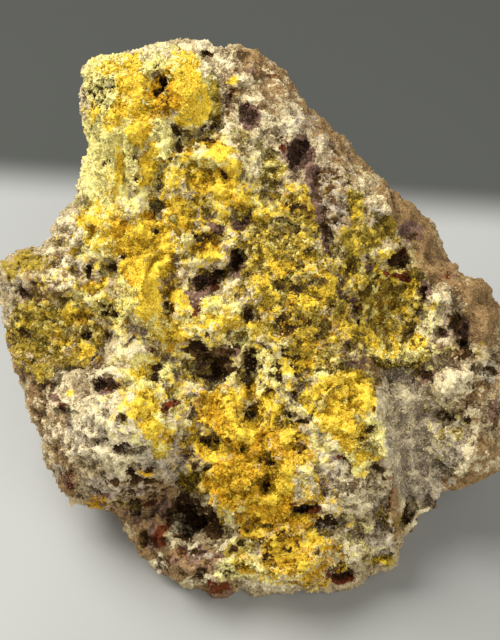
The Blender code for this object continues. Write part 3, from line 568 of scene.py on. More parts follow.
# Crests, and with a minus sign gullies: height in millimetres, half width in points, then the
# points that each passes through
CRESTS = (
    (1.4, 7, (160, 160), (180, 155), (205, 157), (234, 162)),
    (1.3, 8, (166, 262), (152, 276), (141, 290), (146, 306), (156, 322)),
    (0.9, 4, (207, 62), (213, 80), (211, 102), (209, 126)),
    (1.4, 8, (160, 125), (165, 140), (160, 155)),
    (1.0, 6, (113, 140), (116, 165), (114, 200), (108, 222)),
    (1.3, 5, (124, 132), (125, 165), (124, 208)),
    (1.0, 7, (136, 136), (140, 165), (136, 190), (132, 230)),
    (0.8, 6, (100, 146), (95, 175), (90, 200)),
    (1.0, 7, (168, 175), (170, 200), (176, 225), (183, 242)),
    (0.9, 7, (236, 182), (246, 196), (262, 208), (276, 222)),
    (1.2, 6, (196, 262), (214, 259), (228, 248)),
    (1.0, 6, (232, 270), (246, 262), (251, 245), (244, 232)),
    (1.3, 9, (196, 300), (216, 300), (236, 306), (240, 322)),
    (1.0, 5, (186, 340), (204, 338), (228, 342)), (1.5, 8, (118, 352), (130, 345), (148, 352)),
    (1.2, 6, (90, 375), (106, 372), (120, 376)),
    (1.0, 7, (288, 216), (306, 232), (322, 254), (330, 274)),
    (1.1, 6, (334, 215), (338, 240), (342, 268), (347, 290)),
    (0.8, 5, (347, 290), (357, 284), (364, 276)),
    (1.5, 8, (316, 380), (334, 372), (352, 376), (364, 392), (366, 410), (356, 428)),
    (1.0, 7, (266, 350), (264, 372), (276, 396), (268, 420)),
    (1.5, 6, (371, 388), (378, 420), (385, 450), (391, 480), (394, 510), (391, 548)),
    (1.3, 8, (366, 442), (380, 442), (384, 452)), (1.4, 9, (442, 392), (452, 380), (462, 376)),
    (1.2, 3.5, (475, 434), (473, 450), (466, 464), (456, 476)),
    (0.8, 3.5, (452, 276), (466, 294), (475, 318)),
    (1.0, 6, (400, 350), (418, 344), (428, 330), (430, 312)),
    (0.9, 6, (378, 252), (392, 256), (408, 268), (418, 284)),
    (0.8, 6, (60, 308), (84, 306), (100, 300)), (0.8, 6, (30, 328), (60, 330), (84, 328)),
    (0.8, 6, (60, 346), (84, 348), (108, 344)), (0.9, 7, (60, 250), (84, 244), (104, 252)),
    (0.9, 7, (76, 282), (96, 288), (116, 284)), (0.9, 6, (8, 262), (30, 256), (50, 250)),
    (0.9, 7, (130, 396), (148, 404), (160, 420), (156, 436)),
    (1.0, 7, (204, 446), (212, 462), (232, 470), (252, 484), (262, 502)),
    (0.9, 6, (222, 400), (236, 420), (246, 432), (262, 430)),
    (0.9, 6, (282, 436), (296, 430), (316, 424), (340, 428)),
    (1.0, 7, (266, 540), (286, 546), (304, 556), (310, 566)),
    (0.9, 6, (336, 492), (352, 496), (366, 506)), (0.9, 6, (344, 536), (350, 552), (362, 562)),
    (0.9, 7, (230, 540), (244, 556), (262, 566), (284, 574)),
    (0.8, 5, (100, 420), (124, 430), (146, 438)), (0.7, 5, (84, 448), (108, 456), (130, 458)),
    (1.3, 5, (296, 260), (312, 268), (328, 284)), (-1.4, 4, (276, 226), (296, 232), (314, 238)),
    (-1.6, 5, (282, 284), (300, 289), (320, 298)), (1.0, 6, (252, 292), (262, 310), (280, 326)),
    (0.5, 3, (402, 388), (410, 430), (414, 476)), (0.5, 3, (424, 402), (432, 444), (430, 486)),
    (-0.7, 3, (414, 392), (422, 440), (424, 490)), (0.6, 4, (438, 424), (450, 440), (454, 470)),
    (-0.6, 3, (440, 436), (444, 458), (440, 480)), (-0.7, 3, (396, 400), (404, 440), (408, 500)),
    (-0.4, 3, (158, 166), (157, 180), (156, 192)),
    (-0.8, 3.5, (176, 131), (190, 131), (206, 128), (216, 124)),
    (-1.1, 5, (168, 173), (196, 176), (226, 178), (242, 172)),
    (-0.8, 5, (190, 196), (204, 200), (210, 214)), (-0.8, 6, (168, 270), (171, 290), (167, 314)),
    (-1.6, 6, (240, 242), (236, 262), (222, 272), (206, 284)),
    (-0.7, 7, (246, 314), (250, 326), (246, 338)), (-1.1, 8, (250, 350), (255, 370), (249, 390)),
    (-1.0, 7, (252, 404), (247, 418)), (-0.9, 8, (288, 288), (272, 298), (262, 314)),
    (-1.2, 11, (372, 292), (386, 304), (382, 328)), (-0.9, 6, (331, 304), (324, 322), (320, 338)),
    (-1.2, 3.5, (346, 346), (366, 353), (380, 364), (400, 366), (418, 362)),
    (-1.1, 4, (299, 380), (304, 400), (308, 420), (290, 425)),
    (-1.5, 4, (200, 440), (212, 438), (226, 440)), (-0.9, 4, (202, 452), (214, 457), (226, 451)),
    (-1.0, 4, (262, 455), (272, 462), (270, 480), (266, 493)),
    (-1.1, 4, (104, 304), (120, 308), (128, 318)), (-0.9, 4, (56, 318), (86, 319), (116, 323)),
    (-1.0, 4, (82, 337), (96, 339), (110, 335)), (-0.9, 4, (18, 320), (40, 318), (56, 318)),
    (-1.0, 5, (14, 284), (26, 292), (34, 300)), (-0.8, 4, (80, 262), (92, 262), (92, 278)),
    (-0.9, 5, (150, 368), (158, 384), (160, 400)), (-0.8, 3, (100, 476), (120, 469), (140, 462)),
    (-1.0, 3, (387, 410), (396, 445), (401, 480), (402, 512)), (-0.9, 2.5, (362, 437), (378, 428)),
    (-1.2, 6, (420, 368), (430, 377), (440, 380)), (-1.2, 8, (452, 452), (454, 462)),
    (-1.0, 7, (404, 408), (440, 412), (456, 408)),
    (-0.5, 3.5, (317, 168), (318, 190), (322, 212), (328, 236)),
    (-0.8, 4, (252, 180), (262, 196), (270, 212)), (-0.8, 4, (258, 230), (276, 236), (292, 246)),
    (-0.8, 4, (268, 270), (290, 276), (306, 284)), (-0.8, 4, (366, 214), (386, 220), (402, 216)),
    (-0.9, 5, (292, 436), (302, 448), (300, 462)), (-0.8, 5, (216, 520), (240, 526), (252, 530)),
    (-0.9, 4, (58, 384), (48, 398), (56, 412)), (-0.8, 4, (70, 446), (88, 462), (100, 470)),
)
# Ovals by strength: worn or glassy stretches, where the grain and the painted shade of hollows are low
WORN = {
    0.6: ((330, 170, 22, 40, -12), (336, 214, 16, 36)),
    0.65: ((412, 440, 36, 76),),
    0.7: ((444, 276, 16, 14), (130, 356, 26, 20)),
    0.8: ((398, 470, 8, 70, 3), (466, 286, 14, 30, 25), (458, 484, 22, 9), (118, 172, 34, 54)),
    0.85: ((484, 308, 22, 44),),
    0.9: (
        (286, 88, 26, 26), (318, 118, 34, 16, -38), (356, 160, 34, 16, -42), (484, 460, 24, 26),
        (178, 297, 9, 9),
    ),
    0.95: ((412, 218, 22, 30, 25), (430, 252, 20, 30, 20)),
    1.0: ((194, 98, 17, 32), (148, 292, 15, 32)),
}

# Noise that moves a place before its ovals are looked up: its reach and the width of its swells
# in points, and its salts across and down
PAINT_SHAKES = ((4.0, 10, 11, 13), (2.2, 4, 12, 14))
RELIEF_SHAKES = ((2.6, 6, 31, 32), (1.6, 3, 33, 34))
# The share of its reach where an oval starts to fade, and the share where all of them end
PAINT_FADE = 0.6
KNOB_FADE = 0.2
HOLE_FADE = 0.3
FADE_END = 1.3
# How much of their depths holes and gullies get
HOLE_SHARE = 0.75
GULLY_SHARE = 0.6

# The back's minerals: middle strength, swing, width of the swells in millimetres, and salt
BACK_PAINT = {
    "tan": (0.62, 0.4, 14, 21),
    "grey": (0.35, 0.5, 11, 22),
    "pale": (0.2, 0.5, 8, 23),
    "plum": (0.1, 0.5, 9, 24),
    "ochre": (0.05, 0.5, 12, 25),
}
# The least painted shade on the bare rock, which the hollows draw into its creases
LEAST_PAINTED_SHADE_ON_ROCK = 0.2
# The rock's own minerals, which show less on a crust
UNDER_CRUST = ("tan", "grey", "plum")
UNDER_CRUST_SHARE = 0.6

# The attributes that hold the paint, three minerals in each
PAINT_NAMES = ("paint_a", "paint_b", "paint_c", "paint_d")
# How much harder a mineral takes in a hollow than on a tip: hollows take more ochre, olive and painted
# shade, tips more cream and grey, as painted shade in the hollows and a painted highlight on the tips
HOLLOW_BIAS = {"pale": 0.3, "grey": 0.1, "ochre": -0.2, "olive": -0.15, "painted_shade": -0.5}

# Small and broad hollows: the rounds of softening that fill them in, and the depth of a whole one
FILLING_ROUNDS = (14, 90)
HOLLOW_DEPTHS = (0.32 * MM, 0.9 * MM)

# How far a direction looks out of the face, from -1 to 1, where something starts to show and
# where it shows in full: the rock's lumps and wear, placed relief and the crusts' grain, paint,
# what thinning spares, the rock's grain, and, turned about, the swells of the back
ROCK_FRONT = (-0.3, 0.2)
RELIEF_FRONT = (-0.1, 0.3)
PAINT_FRONT = (-0.25, 0.15)
KEPT_FRONT = (-0.35, 0.1)
GRAIN_FRONT = (-0.3, 0.25)
BACK_FRONT = (0.0, 0.5)

# The darkest and brightest that random specks, painted shade in hollows and creases, and painted
# highlights on tips make a tone
DARKEST = 0.2
BRIGHTEST = 1.08

# How many steps a vertex group's weights are rounded to
WEIGHT_STEPS = 64
# A corner of a crust this near the rock is on its underside
ROOT_REACH = 0.62 * MM
# How much of a crust's relief, and of the painted shade of all hollows, a worn stretch loses
WEAR = 0.6

# A grain: the side of its block in reaches, how far it is stretched, how far its corners are
# knocked, the share of its reach that is sunk, and the least height of the rock's grain
GRAIN_BLOCK = 1.3
GRAIN_STRETCH = (0.7, 1.25)
GRAIN_KNOCK = 0.18
GRAIN_SINK = 0.25
LOWEST_GRAIN = 0.4 * MM

# The side of the floor, the colours of the light, and the lights' directions and distances
FLOOR_SIZE = 3
AIR_COLOUR = (1.0, 0.985, 0.96, 1)
KEY_COLOUR = (1.0, 0.985, 0.955)
SIDE_COLOUR = (1, 1, 1)
KEY_PLACE = ((-0.42, 0.02, 0.9), 0.7)
SIDE_PLACE = ((0.3, -0.78, 0.55), 0.8)


def tone(red, green, blue):
    """A colour given from 0 to 255 as the eye sees it, as light values for the shader."""
    parts = (part / 255 for part in (red, green, blue))
    return tuple(p / 12.92 if p < 0.04045 else ((p + 0.055) / 1.055) ** 2.4 for p in parts)


def colour_of(name, description, red, green, blue):
    return FloatVectorProperty(
        name=name, description=description, default=tone(red, green, blue),
        subtype="COLOR", size=3, min=0, max=1,
    )


def length_of(name, description, millimetres):
    return FloatProperty(
        name=name, description=description, default=millimetres * MM,
        min=0, unit="LENGTH", precision=6,
    )


def tone_fields():
    """A light and a deep tone of each mineral, as a property group's fields."""
    fields = {}
    for mineral_name, (label, stuff, light, deep) in TONES.items():
        fields[mineral_name + "_light"] = colour_of(label, f"Light tone of the {stuff}", *light)
        fields[mineral_name + "_deep"] = colour_of(
            label + ", deep", f"Deep tone of the {stuff}", *deep
        )
    return fields


class RockValues(bpy.types.PropertyGroup):
    """Sizes of the rock's relief."""

    mesh_step: length_of("Mesh step", "Size of the rock's faces before its back is thinned", 0.33)
    clump: length_of("Clumps", "Height of the broad lumps", 1.7)
    clump_size: length_of("Clump size", "Width of the broad lumps", 3.0)
    back_swell: length_of("Back swells", "Height of the broad swells on the back", 0.9)
    knob: length_of("Knobs", "Height of the small round knobs", 1.2)
    knob_size: length_of("Knob size", "Width of the small round knobs", 1.6)
    grit: length_of("Grit", "Height of the finest relief", 0.42)
    grit_size: length_of("Grit size", "Width of the finest relief", 0.5)
    most_triangles: IntProperty(
        name="Triangles", description="Most triangles in the rock", default=196000, min=20000
    )


class CrustValues(bpy.types.PropertyGroup):
    """Sizes of the yellow crusts."""

    mesh_step: length_of("Mesh step", "Size of the crusts' faces", 0.26)
    rooting: length_of("Rooting", "How far a crust goes into the rock below it", 0.9)
    clump: length_of("Clumps", "Height of the crusts' lumps", 1.5)
    clump_size: length_of("Clump size", "Width of the crusts' lumps", 3.4)
    fold: length_of("Folds", "Height of the crusts' rounded folds", 1.9)
    fold_size: length_of("Fold size", "Width of the crusts' rounded folds", 2.4)
    knob: length_of("Knobs", "Height of the crusts' small knobs", 0.5)
    knob_size: length_of("Knob size", "Width of the crusts' small knobs", 0.9)
    grit: length_of("Grit", "Height of the crusts' finest relief", 0.38)
    grit_size: length_of("Grit size", "Width of the crusts' finest relief", 0.5)


class GrainValues(bpy.types.PropertyGroup):
    """The loose grain on the rock and on the crusts."""

    rock_pieces: IntProperty(
        name="Rock pieces", description="Pieces that the rock's grain is shared out to",
        default=3, min=1, max=5,
    )
    in_a_piece: IntProperty(
        name="Grains in a piece", description="Grains in one piece of the rock's grain",
        default=16000, min=100, max=16500,
    )
    crust_density: FloatProperty(
        name="Crust grains", description="Grains on each square millimetre of crust",
        default=8.0, min=0,
    )
    smallest: length_of("Smallest", "Least reach of a grain", 0.1)
    largest: length_of("Largest", "Greatest reach of a grain", 0.25)


class ColourValues(bpy.types.PropertyGroup):
    """Light and deep tones of each mineral."""

    __annotations__ = tone_fields()


class StageValues(bpy.types.PropertyGroup):
    """Floor, light and camera."""

    floor_colour: colour_of("Floor", "Colour of the floor", 184, 185, 182)
    dusk_colour: colour_of("Shaded floor", "Colour of the floor away from the light", 142, 142, 138)
    far_colour: colour_of("Far floor", "Colour of the floor far behind the rock", 82, 84, 80)
    key_power: FloatProperty(
        name="Key light", description="Power of the large light", default=5.9, min=0, unit="POWER"
    )
    key_size: FloatProperty(
        name="Key size", description="Side of the large light", default=0.45, min=0.01,
        unit="LENGTH",
    )
    side_power: FloatProperty(
        name="Side light", description="Power of the soft light from the front", default=3.5,
        min=0, unit="POWER",
    )
    side_size: FloatProperty(
        name="Side size", description="Side of the soft light", default=0.7, min=0.01,
        unit="LENGTH",
    )
    fill: FloatProperty(
        name="Fill", description="Strength of the light from all round", default=0.28, min=0
    )
    lens: FloatProperty(
        name="Lens", description="Focal length", default=81, min=1, unit="CAMERA"
    )


GROUPS = (
    (RockValues, "specimen_rock"),
    (CrustValues, "specimen_crust"),
    (GrainValues, "specimen_grain"),
    (ColourValues, "specimen_colours"),
    (StageValues, "specimen_stage"),
)


def values(name):
    return getattr(bpy.context.scene, name)


# Shader


class Wire:
    """A socket of a material, so that shader maths reads as plain expressions."""

    def __init__(self, sheet, socket):
        self.sheet = sheet
        self.socket = socket

    def maths(self, operation, *others):
        return self.sheet.node("ShaderNodeMath", {"operation": operation}, {
            place: value for place, value in enumerate((self, *others))
        })

    def __add__(self, other):
        return self.maths("ADD", other)

    __radd__ = __add__

    def __mul__(self, other):
        return self.maths("MULTIPLY", other)

    __rmul__ = __mul__

    def __sub__(self, other):
        return self.maths("SUBTRACT", other)

    def __rsub__(self, other):
        return self.maths("MULTIPLY_ADD", -1.0, other)

    def clamped(self):
        wire = self.maths("ADD", 0.0)
        wire.socket.node.use_clamp = True
        return wire


class Sheet:
    """One material's nodes."""

    def __init__(self, name):
        self.material = bpy.data.materials.new(name)
        self.material.use_nodes = True
        self.tree = self.material.node_tree
        self.tree.nodes.clear()

    def node(self, kind, settings=None, inputs=None, output=0):
        """Adds a node, sets it up, and joins or fills its sockets. Gives one output back."""
        made = self.tree.nodes.new(kind)
        for name, value in (settings or {}).items():
            setattr(made, name, value)
        for place, value in (inputs or {}).items():
            socket = made.inputs[place]
            if isinstance(value, Wire):
                self.tree.links.new(value.socket, socket)
            else:
                socket.default_value = value
        return Wire(self, made.outputs[output]) if made.outputs else None

    def place(self):
        return self.node("ShaderNodeTexCoord", output="Object")

    def attribute(self, name, output):
        return self.node("ShaderNodeAttribute", {"attribute_name": name}, output=output)

    def parts(self, wire, kind="ShaderNodeSeparateColor"):
        """The three channels of a colour, or of a place."""
        split = self.node(kind, inputs={0: wire})
        return [Wire(self, socket) for socket in split.socket.node.outputs]

    def noise(self, place, size, detail=2.0):
        """Three unlike noises of one size, in metres, each around 0.5."""
        return self.parts(self.node("ShaderNodeTexNoise", {}, {
            "Vector": place, "Scale": 1 / size, "Detail": detail, "Roughness": 0.6,
        }, "Color"))

    def mix(self, share, first, second, blend="MIX"):
        return self.node("ShaderNodeMix", {"data_type": "RGBA", "blend_type": blend}, {
            0: share, 6: first, 7: second,
        }, 2)

    def surface(self, inputs):
        """Ends the material in a Principled BSDF with these inputs, and gives the material."""
        shader = self.node("ShaderNodeBsdfPrincipled", {}, inputs)
        self.node("ShaderNodeOutputMaterial", {}, {"Surface": shader})
        return self.material


def mineral(name, roughness, bump):
    """The look of the specimen's ground: each mineral's colours, laid on where it was painted and broken
    up into specks, with painted shade in its hollows and creases and a painted highlight on its tips."""
    colours = values("specimen_colours")
    sheet = Sheet(name)
    place = sheet.place()
    broad = sheet.noise(place, 6 * MM, 3)
    clump = sheet.noise(place, 2.4 * MM, 3)
    patch = sheet.noise(place, 1.5 * MM)
    speck = sheet.noise(place, 0.7 * MM)
    fine = sheet.noise(place, 0.3 * MM)
    painted = []
    for attribute in PAINT_NAMES:
        painted += sheet.parts(sheet.attribute(attribute, "Color"))
    tint = sheet.attribute("tint", "Fac")
    hollow = sheet.attribute("hollow", "Fac")

    def tones(mineral_name, wire):
        """This mineral's own tone, between deep and light: deeper in hollows as painted shade and
        lighter on tips as a painted highlight, and varied at random by the noise and each grain's tint.
        """
        deep = (*getattr(colours, mineral_name + "_deep"), 1)
        light = (*getattr(colours, mineral_name + "_light"), 1)
        share = (0.55 + (wire - 0.5) * 2.8 + tint * 0.35 - hollow * 0.4).clamped()
        return sheet.mix(share, deep, light)

    # Each mineral, and last the painted shade, in the order they cover each other, with what breaks up
    # its edge: a coarse noise and a fine one
    minerals_and_painted_shade = {
        "tan": (clump[1], speck[1]), "grey": (clump[2], speck[2]), "pale": (patch[0], speck[0]),
        "olive": (clump[0], speck[2]), "lemon": (patch[1], speck[0]),
        "ochre": (clump[1], patch[0]), "yellow": (patch[2], speck[1]),
        "plum": (clump[2], speck[0]), "rust": (patch[1], speck[2]), "painted_shade": (patch[0], speck[1]),
    }
    ground = tones("rock", patch[0] * 0.5 + fine[0] * 0.5)
    for (mineral_name, (coarse, grain)), amount in zip(minerals_and_painted_shade.items(), painted):
        # What the paint has to pass to show
        bar = 0.52 + (coarse - 0.5) * 2.1 + (grain - 0.5) * 1.0 + tint * 0.15
        # Hollows draw ochre, olive and the painted shade in and keep cream to the tips: painted shade
        # and painted highlight
        bar = bar + hollow * HOLLOW_BIAS.get(mineral_name, 0.0)
        share = ((amount * 1.3 - bar.maths("MAXIMUM", 0.1)) * 3).clamped()
        own = tones(mineral_name, fine[0] * 0.6 + speck[0] * 0.4)
        ground = sheet.mix(share, ground, own)
    # Painted shade in the creases between the granules and along the folds, from where a noise passes
    # its middle
    crease = (0.5 + (speck[1] - 0.5).maths("ABSOLUTE") * 8.0).maths("MINIMUM", 1.0)
    fold = (0.68 + (patch[2] - 0.5).maths("ABSOLUTE") * 8.0).maths("MINIMUM", 1.0)
    # Specks of light and shade at random, painted shade in the hollows and a painted highlight on the
    # tips
    shade = 0.9 + (fine[2] - 0.5) * 1.5 + (broad[0] - 0.5) * 0.25 + tint * 0.26 - hollow * 0.38
    shade = shade * crease * fold * 1.42
    shade = shade.maths("MAXIMUM", DARKEST).maths("MINIMUM", BRIGHTEST)
    shade_colour = sheet.node("ShaderNodeCombineColor", {}, {0: shade, 1: shade, 2: shade})
    height = fine[0] * 0.5 + speck[1] * 0.5 + crease * 0.5 + fold * 0.5
    normal = sheet.node("ShaderNodeBump", {}, {
        "Strength": bump, "Distance": 0.4 * MM, "Height": height,
    })
    return sheet.surface({
        "Base Color": sheet.mix(1.0, ground, shade_colour, "MULTIPLY"),
        "Roughness": (roughness + (fine[1] - 0.5) * 0.3).clamped(),
        "Normal": normal, "Specular IOR Level": 0.12,
    })


# Places and noise


def picture_of(points):
    """Where points in metres fall in the view, across and down."""
    from_middle = points - np.array(FACE_MIDDLE)
    scale = VIEW_DISTANCE / (VIEW_DISTANCE - from_middle @ FACE_OUT) / POINT
    across = VIEW_MIDDLE[0] + from_middle[:, 0] * scale
    down = VIEW_MIDDLE[1] - (from_middle @ FACE_UP) * scale
    return across, down


def smooth_step(low, high, value):
    share = np.clip((value - low) / (high - low), 0, 1)
    return share * share * (3 - 2 * share)


def facing(directions, low, high):
    """How far these directions look out of the face: 0 at the low share and 1 at the high one."""
    return smooth_step(low, high, directions @ FACE_OUT)


def scrambled(cells, salt):
    """A fixed number from 0 to 1 for each whole-number cell."""
    mixed = (cells[:, 0] * 73856093) ^ (cells[:, 1] * 19349663) ^ (cells[:, 2] * 83492791)
    mixed = (mixed ^ (salt * 2654435761)) & 0xFFFFFFFF
    mixed = ((mixed ^ (mixed >> 15)) * 2246822519) & 0xFFFFFFFF
    mixed = ((mixed ^ (mixed >> 13)) * 3266489917) & 0xFFFFFFFF
    return (mixed ^ (mixed >> 16)) / 0xFFFFFFFF


def swell(points, size, salt):
    """Smooth noise from -1 to 1 in swells of about this size."""
    spots = points / size
    cells = np.floor(spots)
    share = spots - cells
    share = share * share * (3 - 2 * share)
    cells = cells.astype(np.int64)
    total = np.zeros(len(points))
    for corner in np.ndindex(2, 2, 2):
        weight = np.prod(np.where(corner, share, 1 - share), axis=1)
        total += weight * scrambled(cells + np.array(corner), salt)
    return total * 2 - 1


def shaken(across, down, shakes):
    """The places moved to and fro by noise, so that no oval keeps a smooth edge."""
    flat = np.column_stack([across, down, np.zeros(len(across))])
    for reach, size, salt_across, salt_down in shakes:
        across = across + reach * swell(flat, size, salt_across)
        down = down + reach * swell(flat, size, salt_down)
    return across, down


def ovals_at(across, down, groups, fade=PAINT_FADE):
    """The strongest of these ovals at each place, fading out at its edge."""
    strongest = np.zeros(len(across))
    ovals = [(strength, *oval) for strength, group in groups.items() for oval in group]
    for strength, x, y, reach_x, reach_y, *turn in ovals:
        furthest = 1.5 * max(reach_x, reach_y)
        near = np.flatnonzero((np.abs(across - x) < furthest) & (np.abs(down - y) < furthest))
        angle = math.radians(turn[0] if turn else 0)
        right, below = across[near] - x, down[near] - y
        along = right * math.cos(angle) - below * math.sin(angle)
        over = right * math.sin(angle) + below * math.cos(angle)
        distance = np.hypot(along / reach_x, over / reach_y)
        reached = strength * (1 - smooth_step(fade, FADE_END, distance))
        strongest[near] = np.maximum(strongest[near], reached)
    return strongest


def crests_at(across, down):
    """The height of the crests and gullies at each place, in millimetres."""
    place = np.column_stack([across, down])
    height = np.zeros(len(place))
    for top, reach, *corners in CRESTS:
        corners = np.array(corners, float)
        low, high = corners.min(axis=0) - 3 * reach, corners.max(axis=0) + 3 * reach
        near = np.flatnonzero(((place > low) & (place < high)).all(axis=1))
        nearest = np.full(len(near), np.inf)
        for start, end in zip(corners, corners[1:]):
            along = end - start
            share = np.clip((place[near] - start) @ along / (along @ along), 0, 1)
            gap = place[near] - start - share[:, None] * along
            nearest = np.minimum(nearest, np.hypot(*gap.T))
        height[near] += (top if top > 0 else GULLY_SHARE * top) * np.exp(-((nearest / reach) ** 2))
    return height


def worn_at(points):
    """How worn or glassy the ground is at these points."""
    return ovals_at(*picture_of(points), WORN)


def placed_relief(points, normals):
    """Holes, knobs, crests and gullies at their own places on the face, in metres along the view."""
    across, down = shaken(*picture_of(points), RELIEF_SHAKES)
    raised = ovals_at(across, down, KNOBS, KNOB_FADE)
    raised = raised - HOLE_SHARE * ovals_at(across, down, HOLES, HOLE_FADE)
    return (raised + crests_at(across, down)) * facing(normals, *RELIEF_FRONT) * MM


def paint_of(points, normals, laid_on=None):
    """How strongly each mineral is laid on at these points: one column a mineral."""
    across, down = shaken(*picture_of(points), PAINT_SHAKES)
    in_front = facing(normals, *PAINT_FRONT)
    columns = {
        mineral_name: ovals_at(across, down, groups) * in_front
        for mineral_name, groups in PAINT.items()
    }
    for mineral_name, (middle, swing, size, salt) in BACK_PAINT.items():
        behind = (1 - in_front) * (middle + swing * swell(points, size * MM, salt))
        columns[mineral_name] = np.maximum(columns[mineral_name], behind)
    # On the bare rock the painted shade is laid on everywhere, at least this much
    if not laid_on:
        columns["painted_shade"] = np.maximum(columns["painted_shade"], LEAST_PAINTED_SHADE_ON_ROCK)
    else:
        bare = smooth_step(0.55, 0.95, np.maximum(columns["pale"], columns["grey"]))
        spread = (1 - 0.6 * bare) * np.clip(0.9 + 0.35 * swell(points, 4 * MM, 26), 0, 1.1)
        for mineral_name in UNDER_CRUST:
            columns[mineral_name] *= UNDER_CRUST_SHARE
        for mineral_name, least in laid_on.items():
            columns[mineral_name] = np.maximum(columns[mineral_name], least * spread)
    return np.column_stack([columns[mineral_name] for mineral_name in PAINT])


# Mesh work


def deselect():
    for thing in bpy.context.view_layer.objects:
        thing.select_set(False)


def take(piece):
    """Makes this piece the only selected and the active one."""
    deselect()
    piece.select_set(True)
    bpy.context.view_layer.objects.active = piece


def add_object(name, data):
    """A new object in the scene with this mesh, light or camera."""
    thing = bpy.data.objects.new(name, data)
    bpy.context.scene.collection.objects.link(thing)
    return thing


def copy_of(node_name, name):
    """A copy of a CAD node's mesh, with its loose triangles joined up."""
    piece = add_object(name, frame["nodes"][node_name].data.copy())
    piece.data.name = name
    piece.data.materials.clear()
    take(piece)
    bpy.ops.object.mode_set(mode="EDIT")
    bpy.ops.mesh.select_all(action="SELECT")
    bpy.ops.mesh.remove_doubles(threshold=1e-6)
    bpy.ops.object.mode_set(mode="OBJECT")
    return piece


def modify(piece, kind, **settings):
    """Adds a modifier to the piece and applies it."""
    take(piece)
    modifier = piece.modifiers.new(kind.lower(), kind)
    for name, value in settings.items():
        setattr(modifier, name, value)
    bpy.ops.object.modifier_apply(modifier=modifier.name)


def relief(piece, kind, size, height, group="", **settings):
    """Raises the piece's surface by a texture of this size."""
    texture = bpy.data.textures.new(f"{piece.name}_{kind.lower()}", kind)
    texture.noise_scale = size
    for name, value in settings.items():
        setattr(texture, name, value)
    modify(
        piece, "DISPLACE", texture=texture, strength=height, mid_level=0.5,
        texture_coords="LOCAL", vertex_group=group,
    )


def triples(items, field):
    """This field of all items, three numbers to a row."""
    flat = np.empty(len(items) * 3, np.float32)
    items.foreach_get(field, flat)
    return flat.reshape(-1, 3).astype(float)


def points_of(mesh):
    return triples(mesh.vertices, "co")


def normals_of(mesh):
    return triples(mesh.vertex_normals, "vector")


def set_points(mesh, points):
    mesh.vertices.foreach_set("co", points.astype(np.float32).ravel())
    mesh.update()


def weigh(piece, name, weights):
    """A vertex group with these weights, rounded to steps."""
    group = piece.vertex_groups.new(name=name)
    steps = np.round(np.clip(weights, 0, 1) * WEIGHT_STEPS).astype(int)
    for step in range(1, WEIGHT_STEPS + 1):
        members = np.flatnonzero(steps == step).tolist()
        if members:
            group.add(members, step / WEIGHT_STEPS, "REPLACE")


def softened(mesh, points, rounds):
    """The points after this many rounds of moving each to the middle of its neighbours."""
    ends = np.empty(len(mesh.edges) * 2, np.int32)
    mesh.edges.foreach_get("vertices", ends)
    ends = ends.reshape(-1, 2)
    pairs = np.concatenate([ends, ends[:, ::-1]])
    count = np.maximum(np.bincount(pairs[:, 0], minlength=len(points)), 1)
    for _ in range(rounds):
        points = np.column_stack([
            np.bincount(pairs[:, 0], points[pairs[:, 1], axis], len(points)) / count
            for axis in range(3)
        ])
    return points


def hollowness(mesh, points, normals):
    """From -1 on a tip to 1 in a hollow, in small hollows and in broad ones."""
    close = softened(mesh, points, FILLING_ROUNDS[0])
    far = softened(mesh, close, FILLING_ROUNDS[1])
    small, broad = (
        np.clip(np.einsum("ij,ij->i", around - points, normals) / depth, -1, 1)
        for around, depth in zip((close, far), HOLLOW_DEPTHS)
    )
    return 0.5 * small + 0.4 * broad


def store(mesh, name, kind, value):
    attribute = mesh.attributes.new(name, kind, "POINT")
    field = "color" if kind == "FLOAT_COLOR" else "value"
    attribute.data.foreach_set(field, value.astype(np.float32).ravel())


def dress(mesh, points, normals, hollow, tint, laid_on=None):
    """Stores what the material reads at each point."""
    painted = np.clip(paint_of(points, normals, laid_on), 0, 1)
    for place, name in enumerate(PAINT_NAMES):
        columns = painted[:, 3 * place : 3 * place + 3]
        four = np.ones((len(points), 4))
        four[:, : columns.shape[1]] = columns
        store(mesh, name, "FLOAT_COLOR", four)
    store(mesh, "hollow", "FLOAT", hollow)
    store(mesh, "tint", "FLOAT", tint)


def dress_ground(piece, laid_on=None):
    """Smooths the shading of the rock or a crust, and stores what its material reads."""
    take(piece)
    bpy.ops.object.shade_smooth()
    mesh = piece.data
    points, normals = points_of(mesh), normals_of(mesh)
    worn = worn_at(points)
    if not laid_on:
        worn = worn * facing(normals, *ROCK_FRONT)
    # How far each point lies in a hollow, which the material turns into painted shade, less in worn
    # stretches
    hollow = hollowness(mesh, points, normals) * (1 - WEAR * worn)
    dress(mesh, points, normals, hollow, np.zeros(len(points)), laid_on)


def in_box(points):
    """Keeps points within a hair of the CAD box, and above the floor."""
    low, high = (np.array(corner) for corner in CAD_BOX)
    kept = np.clip(points, low - BOX_EDGE, high + BOX_EDGE)
    kept[:, 2] = np.maximum(kept[:, 2], low[2])
    return kept


def thin(piece, most):
    """Merges small faces, first where they face away from the view, down to this many."""
    points = points_of(piece.data)
    away = 1 - facing(normals_of(piece.data), *KEPT_FRONT)
    weigh(piece, "thinned", away)
    # The modifier's tolerances suit a piece some metres across
    set_points(piece.data, points / MM)
    modify(
        piece, "DECIMATE", vertex_group="thinned", vertex_group_factor=0.001,
        ratio=1 - 0.8 * np.mean(away > 0.5), use_collapse_triangulate=True,
    )
    if len(piece.data.polygons) > most:
        modify(
            piece, "DECIMATE", ratio=most / len(piece.data.polygons),
            use_collapse_triangulate=True,
        )
    set_points(piece.data, points_of(piece.data) * MM)


